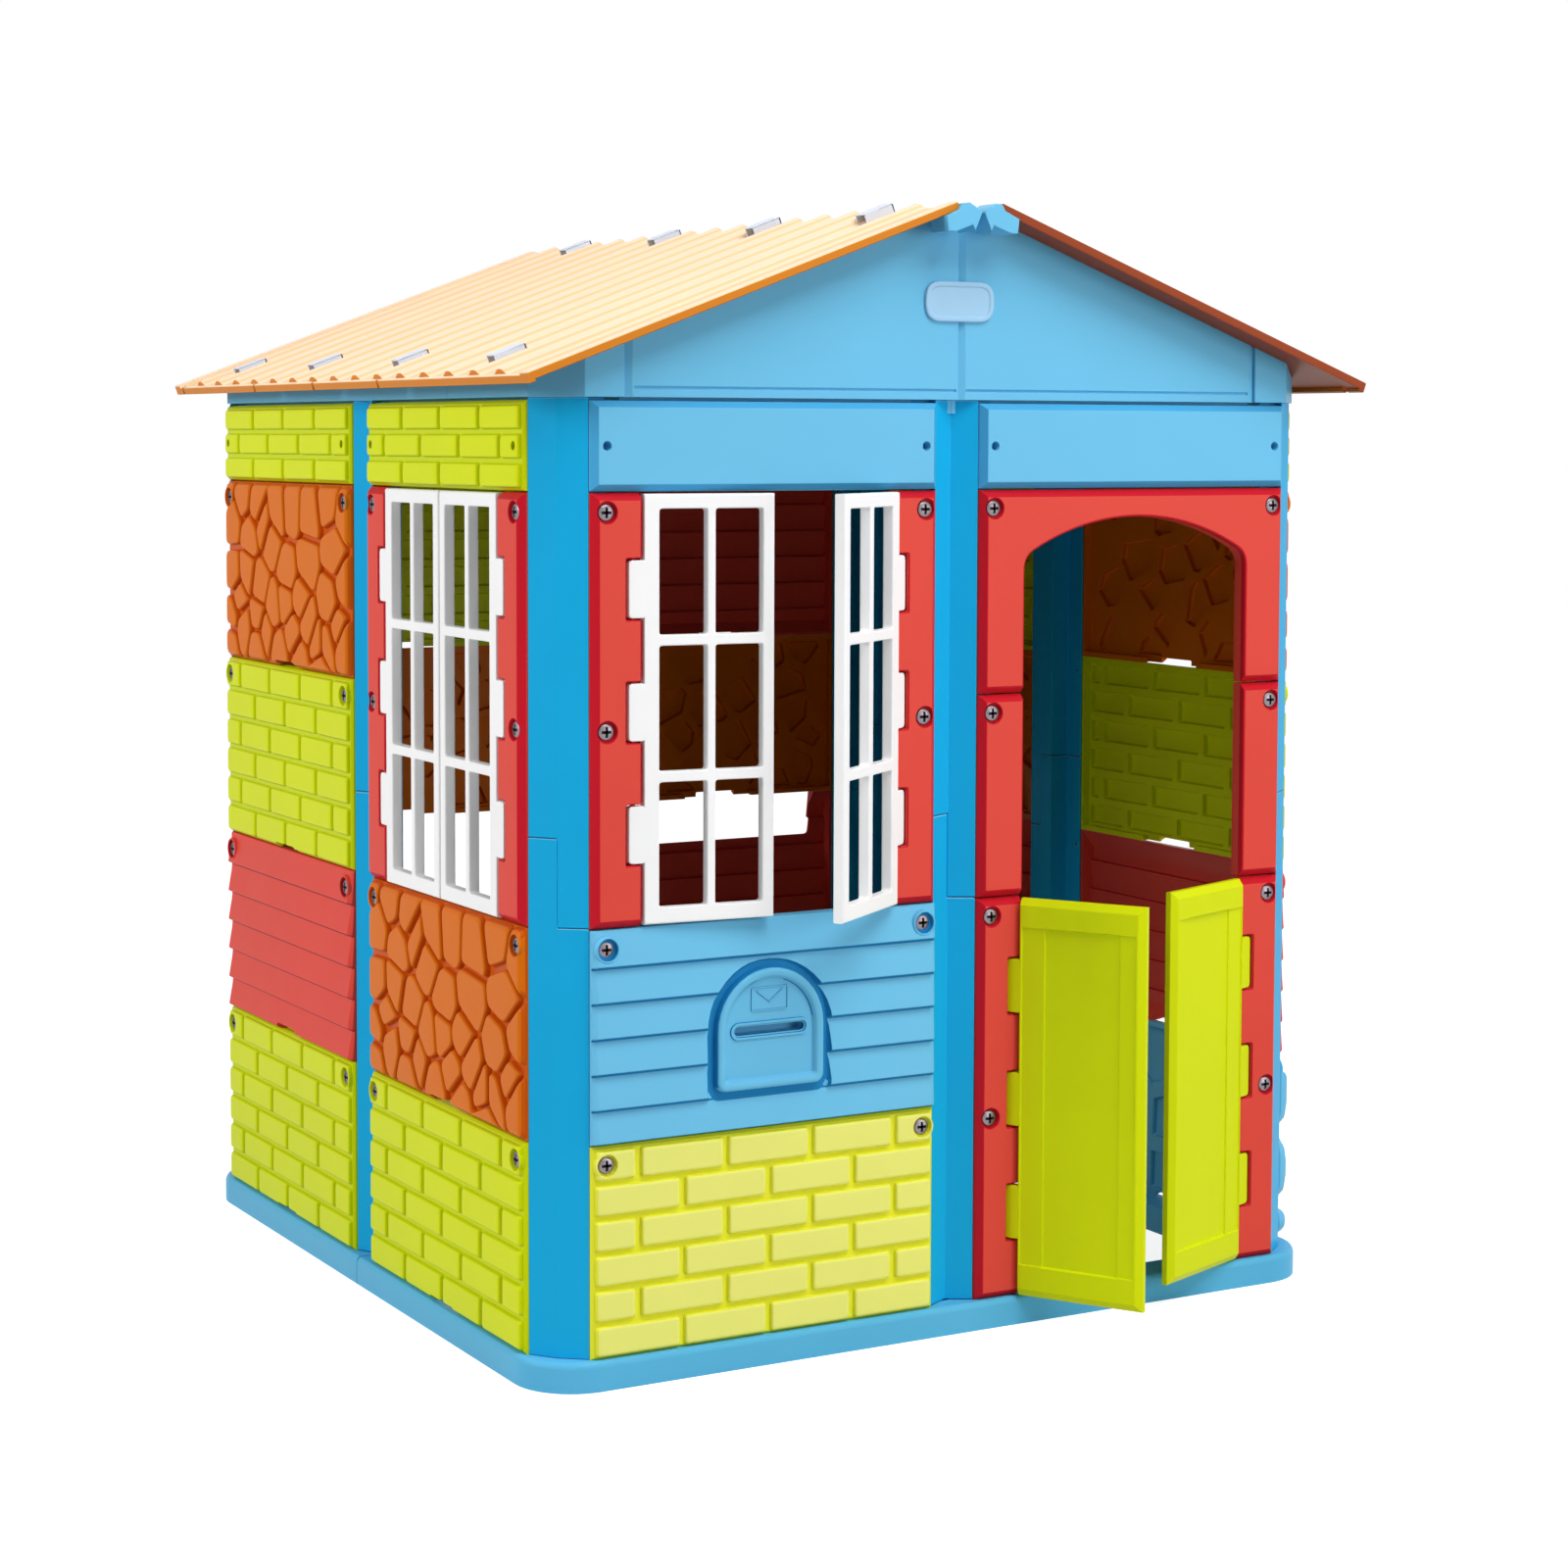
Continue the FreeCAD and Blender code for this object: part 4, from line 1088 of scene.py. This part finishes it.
def crossMesh(low, high):
    # A cross-shaped block, measured from the top of the head.
    top = panel["proud"] - screw["sunk"] + screw["dome"]

    def draw(form):
        long, wide = screw["cross"]
        for w, h in ((long, wide), (wide, long)):
            block(form, rectangle(-w / 2, -h / 2, w, h), [(0, top + low), (0, top + high)], 0.8)
    return blank(draw)


def screwSpots():
    # Points in the wells of every wall, and the turn that faces each outwards.
    places, turns = [], []
    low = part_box("front_brick_panel")[0].z / mm
    levels = [low + row * panel["rise"] + panel["height"] - panel["screwDown"] for row in range(4)]
    nearest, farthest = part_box("panel_screws")
    reach = farthest.x / mm - panel["proud"]
    front, back = nearest.y / mm + panel["proud"], farthest.y / mm - panel["proud"]
    centre = Vector((0, (front + back) / 2))
    for turn in range(4):
        spin = Matrix.Rotation(radians(90 * turn), 2)
        for x in screw["across"]:
            for level in levels:
                spot = centre + spin @ Vector((x, -reach))
                places.append(Vector((spot.x, spot.y, level)) * mm)
                turns += [0, 0, radians(90 * turn)]
    return places, turns


def turnedSpots(name, places, turns):
    mesh = bpy.data.meshes.new(name)
    mesh.from_pydata(places, [], [])
    mesh.attributes.new("turn", "FLOAT_VECTOR", "POINT").data.foreach_set("vector", turns)
    return mesh


spots = turnedSpots("screwSpots", *screwSpots())
screwCount = len(spots.vertices)
screwMesh = laidOut(spotTree, screwHead(), spots.copy(), Size=1.0, Finish=finish["screw_steel"])
settle(newObject("panel_screws_fine", screwMesh), "panel_screws")
# A dark block at the bottom of each cross, as painted shade.
sockets = newObject("panel_screws_sockets", laidOut(
    spotTree, crossMesh(-screw["deep"] - 1, -0.9), spots, Size=1.0, Finish=finish["screw_socket_shade"]))
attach(sockets, bodyOf["panel_screws"])
print("screws set:", screwCount)

# Roof sheets, drawn from the ridge edge: x down the slope, y along the eave, z up from the rib tops.
roof = {
    "ridgeGap": 32, "over": 45, "rise": 207, "sheet": 4.2, "flat": -5, "band": 20, "fascia": (11, 7), "ribs": 15,
    "pitch": 71.7, "ribWidth": 46, "ribHeight": 7.6, "ribEnd": 8, "slots": (0, 4, 7, 10),
}
sheetLow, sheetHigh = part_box("roof_sheet_right")
length = (sheetHigh.y - sheetLow.y) / mm
run = sheetHigh.x / mm - roof["ridgeGap"]
slope = hypot(run, roof["rise"])
tilt = atan2(roof["rise"], run)


def turnedUp(mesh):
    # From a flat drawing to one that lies on its back: outwards becomes up.
    def lay(form):
        for v in form.verts:
            v.co = Vector((v.co.x, v.co.z, -v.co.y))
    return edited(mesh, lay)


def sheetPlate():
    def draw(form):
        base = roof["flat"] - roof["sheet"]
        outer = rectangle(0, 0, slope, length)
        block(form, outer, [(0.6, base), (0, base + 0.6), (0, roof["flat"] - 0.8), (0.8, roof["flat"])])
        for z in (0, length - roof["band"]):
            block(form, rectangle(0, z, slope, roof["band"]), [
                (0.4, base - 1.5), (0, base - 1), (0, -1.8), (0.8, -0.6), (2.6, 0), (7, 0.2)])
        wide, drop = roof["fascia"][1], roof["fascia"][0]
        block(form, rectangle(slope - wide, 0, wide, length), [
            (0.6, -2.6 - drop), (0, -2 - drop), (0, -4.2), (0.7, -3.4), (2, -3.2)])
    return blank(draw)


def ribPart():
    # One rounded rib, its lower end cut off steeply.
    side = [(1, 0), (0.78, 0.07), (0.55, 0.38), (0.38, 0.76), (0.2, 0.96)]
    profile = [(-y, z) for y, z in side] + [(0, 1)] + side[::-1]
    half, high, low = roof["ribWidth"] / 2, roof["ribHeight"], roof["flat"] - 0.1
    end = slope - roof["ribEnd"]
    form = bmesh.new()
    rows = []
    for x, across, up in ((0.4, 1, 1), (end - 1, 1, 1), (end, 0.99, 0.94), (end + 0.8, 0.9, 0.02)):
        rows.append(points(form, [(x, half * y * across, low + high * z * up) for y, z in profile]))
    for a, b in zip(rows, rows[1:]):
        for i in range(len(profile) - 1):
            form.faces.new((a[i], b[i], b[i + 1], a[i + 1]))
    form.faces.new(rows[0])
    form.faces.new([row[0] for row in rows] + [row[-1] for row in reversed(rows)])
    form.faces.new(rows[-1])
    bmesh.ops.recalc_face_normals(form, faces=form.faces)
    if form.calc_volume(signed=True) < 0:
        bmesh.ops.reverse_faces(form, faces=form.faces)
    mesh = bpy.data.meshes.new("rib")
    form.to_mesh(mesh)
    form.free()
    return mesh


first = (length - (roof["ribs"] - 1) * roof["pitch"]) / 2
# The ribs take the peach paint, a painted sheen.
ribsMesh = laidOut(
    rowTree, ribPart(), bpy.data.meshes.new("none"), Count=roof["ribs"], Start=(0, first * mm, 0),
    Step=(0, roof["pitch"] * mm, 0), Finish=finish["roof_peach"])


def slots(form):
    for k in roof["slots"]:
        z = first + (k - 1) * roof["pitch"]
        block(form, rectangle(slope - 12, z + 11, 14, 6), [(0, -18), (0, 4)])


plateMesh = turnedUp(trimmed(sheetPlate(), blank(slots)))
centreY = (sheetHigh.y + sheetLow.y) / 2
lay = Matrix.Translation((roof["ridgeGap"] * mm, -length / 2 * mm, sheetHigh.z))
lay = lay @ Matrix.Rotation(tilt, 4, "Y")
aside = Matrix.Translation((0, centreY, 0))
half = Matrix.Rotation(pi, 4, "Z")
for node, place in (("roof_sheet_right", aside @ lay), ("roof_sheet_left", aside @ half @ lay)):
    piece = settle(assembled(node + "_fine", [(plateMesh, place), (ribsMesh, place)]), node)
    # Painted light on the sheets: the rib tops are paler as a painted sheen; the valleys and the rib sides take a
    # painted shade, the underside a darker painted shade, and the outer rims the sheet's own orange, darkened a
    # little as painted shade.
    for paint in ("roof_rim", "roof_valley_shade", "roof_under_shade"):
        piece.data.materials.append(finish[paint])
    # On the right sheet the faces that look to the front take the underside's painted shade.
    frontShadePainted = node == "roof_sheet_right"
    up = place.to_3x3() @ Vector((0, 0, 1))
    for face in piece.data.polygons:
        spot = place.inverted() @ face.center / mm
        rise = face.normal.dot(up)
        outer = spot.y < 0.7 or spot.y > length - 0.7 or spot.x > slope - roof["ribEnd"] - 1.5 or spot.x < 0.7
        if rise < -0.5 or (frontShadePainted and face.normal.y < -0.7):
            face.material_index = 3
        elif rise < 0.55 and outer:
            face.material_index = 1
        elif spot.z < roof["flat"] + 0.4 or 0.5 < rise < 0.9:
            face.material_index = 2
print("roof sheets drawn")


# Clips: a pale cover with a low flange, open towards the eave.
clip = {
    "length": 42, "width": 22, "high": 8.4, "wall": 1.7, "flange": 7,
    "eave": (43, 134, 283), "ridge": (8, 94, 275),
}


def clipPart():
    def bar(form, x, z, w, h, low, high):
        block(form, rectangle(x, z, w, h), [(0.3, low), (0, low + 0.3), (0, high - 0.5), (0.5, high)])

    def draw(form):
        w, t = clip["width"], clip["wall"]
        bar(form, 0, -w / 2, clip["length"], w, clip["high"] - t, clip["high"])
        for z in (-w / 2, w / 2 - t):
            bar(form, 0, z, clip["length"], t, roof["flat"] - 0.5, clip["high"] - 0.4)
        bar(form, clip["length"] * 0.06, -w / 2 - clip["flange"], clip["length"] * 0.88, clip["flange"] + 1, 2.6, 4)
        bar(form, 0, -w / 2, t, w, roof["flat"] - 0.5, clip["high"] - 0.4)
    return turnedUp(blank(draw))


clipPoints, clipTurns = [], []
for side in (1, -1):
    for k in range(4):
        for down, (edge, start, step) in (
                (slope - clip["eave"][0] - clip["length"], clip["eave"]), (clip["ridge"][0], clip["ridge"])):
            along = roof["over"] + start + step * k - length / 2
            spot = Vector((roof["ridgeGap"] + down * cos(tilt), side * along, -down * sin(tilt))) * mm
            spot = (half if side < 0 else Matrix.Identity(4)) @ spot
            clipPoints.append(spot + Vector((0, centreY, sheetHigh.z)))
            clipTurns += [0, tilt, 0 if side > 0 else pi]
clipSpots = turnedSpots("clipSpots", clipPoints, clipTurns)
clipsMesh = laidOut(spotTree, clipPart(), clipSpots, Size=1.0, Finish=finish["pale_blue"])
settle(newObject("roof_clips_fine", clipsMesh), "roof_clips").data.materials[0] = finish["clip_white"]

# Gables: wide bevels at the seam and the outer end, and a line above the lower edge.
gable = {"slope": 10, "fall": 5, "line": (1142.3, 3.4), "lineDeep": 2.6}
# The strips behind the top panels: their levels, and how far they lie behind the wall's face.
eaves = {"lip": (1117, 1137), "behind": (15, 18)}
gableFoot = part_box("gable_front_right")[0].z / mm
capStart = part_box("gable_front_right")[1].x / mm


def under(x):
    return sheetHigh.z / mm - (x - roof["ridgeGap"]) * roof["rise"] / run - 9 / cos(tilt)


def gableMesh(seam):
    loop = [
        Vector((0, gableFoot)), Vector((capStart - 0.3, gableFoot)), Vector((capStart - 0.3, under(capStart))),
        Vector((roof["ridgeGap"], under(roof["ridgeGap"]))), Vector((0, under(roof["ridgeGap"])))]

    def draw(form):
        s, f = gable["slope"], gable["fall"]
        slab(form, loop, (1, 0, 1, 1, 0 if seam else 1), [
            (-panel["depth"], (0, 0)), (-f, (0, 0)), (0.6 - f, (0.6, 0)), (-1, (s - 1.4, 0)),
            (-0.3, (s - 0.3, 0.3)), (0, (s + 0.8, 1.2))])
        low, high = eaves["lip"]
        block(form, rectangle(0.2, low, capStart - 0.5, high - low), [(0, -18), (0, -15)])

    z, wide = gable["line"]
    start = gable["slope"] + 1 if seam else 3
    line = blank(block, rectangle(start, z, capStart - gable["slope"] - 2 - start, wide), [
        (1, -gable["lineDeep"]), (0, -0.5), (-0.8, 0.6), (-0.8, 3)])
    return trimmed(blank(draw), line)


frontWall = Matrix.Translation((0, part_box("gable_front_right")[0].y, 0))
backWall = Matrix.Translation((0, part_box("gable_back")[1].y, 0)) @ half
rightGable, leftGable = gableMesh(True), mirroredMesh(gableMesh(False))
for node, parts in (
        ("gable_front_right", [(rightGable, frontWall)]), ("gable_front_left", [(leftGable, frontWall)]),
        ("gable_back", [(rightGable, backWall), (leftGable, backWall)])):
    settle(assembled(node + "_fine", parts), node)

# Hooked brackets that hold the two sheets together at each end of the ridge.
bracket = {
    "outline": ((1.5, 1353), (6, 1357), (19, 1364), (27, 1363), (31, 1356), (44, 1350), (51, 1347), (49, 1329.5),
                (38, 1329.5), (15, 1338), (11.5, 1330.5)),
    "front": 53, "back": 16, "soft": 1.4, "stub": (16, 1333, 22, 10),
}


def bracketMesh():
    loop = [Vector(point) for point in reversed(bracket["outline"])]
    s, back, front = bracket["soft"], bracket["back"], bracket["front"]

    def draw(form):
        block(form, loop, [(0, back), (0, front - s), (s * 0.3, front - s * 0.3), (s, front)])
        block(form, rectangle(*bracket["stub"]), [(0, -1), (0, back + 2)])
    return blank(draw)


# The eave pieces: as packed, with a strip behind the top panels that closes the gap below them.
def withLips(node, starts, ends):
    near, far = (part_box("eave_beams")[1].x / mm - a for a in eaves["behind"])

    def strips(form):
        for side in (1, -1):
            for start, end in zip(starts, ends):
                stack(form, [
                    [(side * near, start, z), (side * near, end, z), (side * far, end, z), (side * far, start, z)]
                    for z in eaves["lip"]])
    edited(refined(node).data, strips)


beamStart, beamEnd = (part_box("eave_beams")[k].y / mm for k in (0, 1))
wallStart, wallEnd = (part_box("corner_caps")[k].y / mm for k in (0, 1))
withLips("eave_beams", [beamStart], [beamEnd])
withLips("corner_caps", [wallStart + 40, beamEnd], [beamStart, wallEnd - 40])
rightHook = bracketMesh()
leftHook = mirroredMesh(rightHook)
settle(assembled("ridge_brackets_fine", [
    (hook, wall) for hook in (rightHook, leftHook) for wall in (frontWall, backWall)]), "ridge_brackets")

# The plaque stays blank: a raised rim round a plain field.
plaque = {"box": (-48.5, 1226, 97, 48), "corner": 23, "rim": 6.5}
rim = plaque["rim"]
plaqueMesh = blank(block, softened(rectangle(*plaque["box"]), plaque["corner"], 8), [
    (0.6, -0.2), (0, 0.6), (0, 2.6), (0.5, 3.6), (1.6, 4.2), (rim - 1.6, 4.2), (rim - 0.6, 3.7), (rim, 2.9),
    (rim + 1, 2.6)])
settle(assembled("badge_plaque_fine", [(plaqueMesh, frontWall)]), "badge_plaque")
print("roof clips, gables, brackets and plaque drawn")

# The base: a low ring in two halves, its corners and its upper outer edge rounded.
base = {
    "corner": 75, "less": 5, "wide": 55, "seam": 0.6,
    "levels": ((0, 0), (0, 27), (0.8, 30.6), (2.6, 33.6), (5.2, 34.9), (7.5, 35)),
}
low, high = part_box("base_front")[0] / mm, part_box("base_back")[1] / mm
less = Vector((base["less"], base["less"], 0))
low, high = low + less, high - less


def baseHalf(form):
    # The half on the near side, anticlockwise from the seam on the left.
    r, seam = base["corner"], (low.y + high.y) / 2 - base["seam"]
    outer = [Vector((low.x, seam))] + arc(low.x + r, low.y + r, r, pi, pi / 2, 12)
    outer += arc(high.x - r, low.y + r, r, 1.5 * pi, pi / 2, 12) + [Vector((high.x, seam))]
    w = base["wide"]
    left, right, near = low.x + w, high.x - w, low.y + w
    inner = [Vector(point) for point in ((right, seam), (right, near), (left, near), (left, seam))]
    kinds = [1] * (len(outer) - 1) + [0.3] * 5
    stack(form, [[(p.x, p.y, z) for p in inset(outer + inner, [inward * kind for kind in kinds])]
                 for inward, z in base["levels"]])


frontHalf = blank(baseHalf)
turnAbout = Matrix.Translation((0, (low.y + high.y) * mm, 0)) @ Matrix.Rotation(pi, 4, "Z")
for node, place in (("base_front", Matrix.Identity(4)), ("base_back", turnAbout)):
    settle(assembled(node + "_fine", [(frontHalf, place)]), node)
for node in frame["nodes"]:
    if node not in done:
        piece = refined(node, 2.4 if "posts" in node else 1.8)
        if "posts" in node:
            # The joint between the halves of a post: painted shade on the faces that look down, a painted highlight
            # in the paler panel blue on the faces that look up.
            toned(piece, "frame_joint_shade", lambda face: face.normal.z < -0.3)
            toned(piece, "panel_blue", lambda face: face.normal.z > 0.3)
print("other pieces refined")

# White floor and backdrop.
floorMesh = bpy.data.meshes.new("floor")
floorMesh.from_pydata([(-60, -60, 0), (60, -60, 0), (60, 60, 0), (-60, 60, 0)], [], [(0, 1, 2, 3)])
floor = newObject("floor", floorMesh)
floorPaint = bpy.data.materials.new("floor paint")
floorPaint.use_nodes = True
coat = floorPaint.node_tree.nodes["Principled BSDF"]
coat.inputs["Base Color"].default_value = (0.6, 0.6, 0.6, 1)
coat.inputs["Roughness"].default_value = 0.9
coat.inputs["Emission Color"].default_value = (1, 1, 1, 1)
floorPaint.node_tree.links.new(whenSeen(floorPaint.node_tree, 0, 0.8), coat.inputs["Emission Strength"])
floorMesh.materials.append(floorPaint)
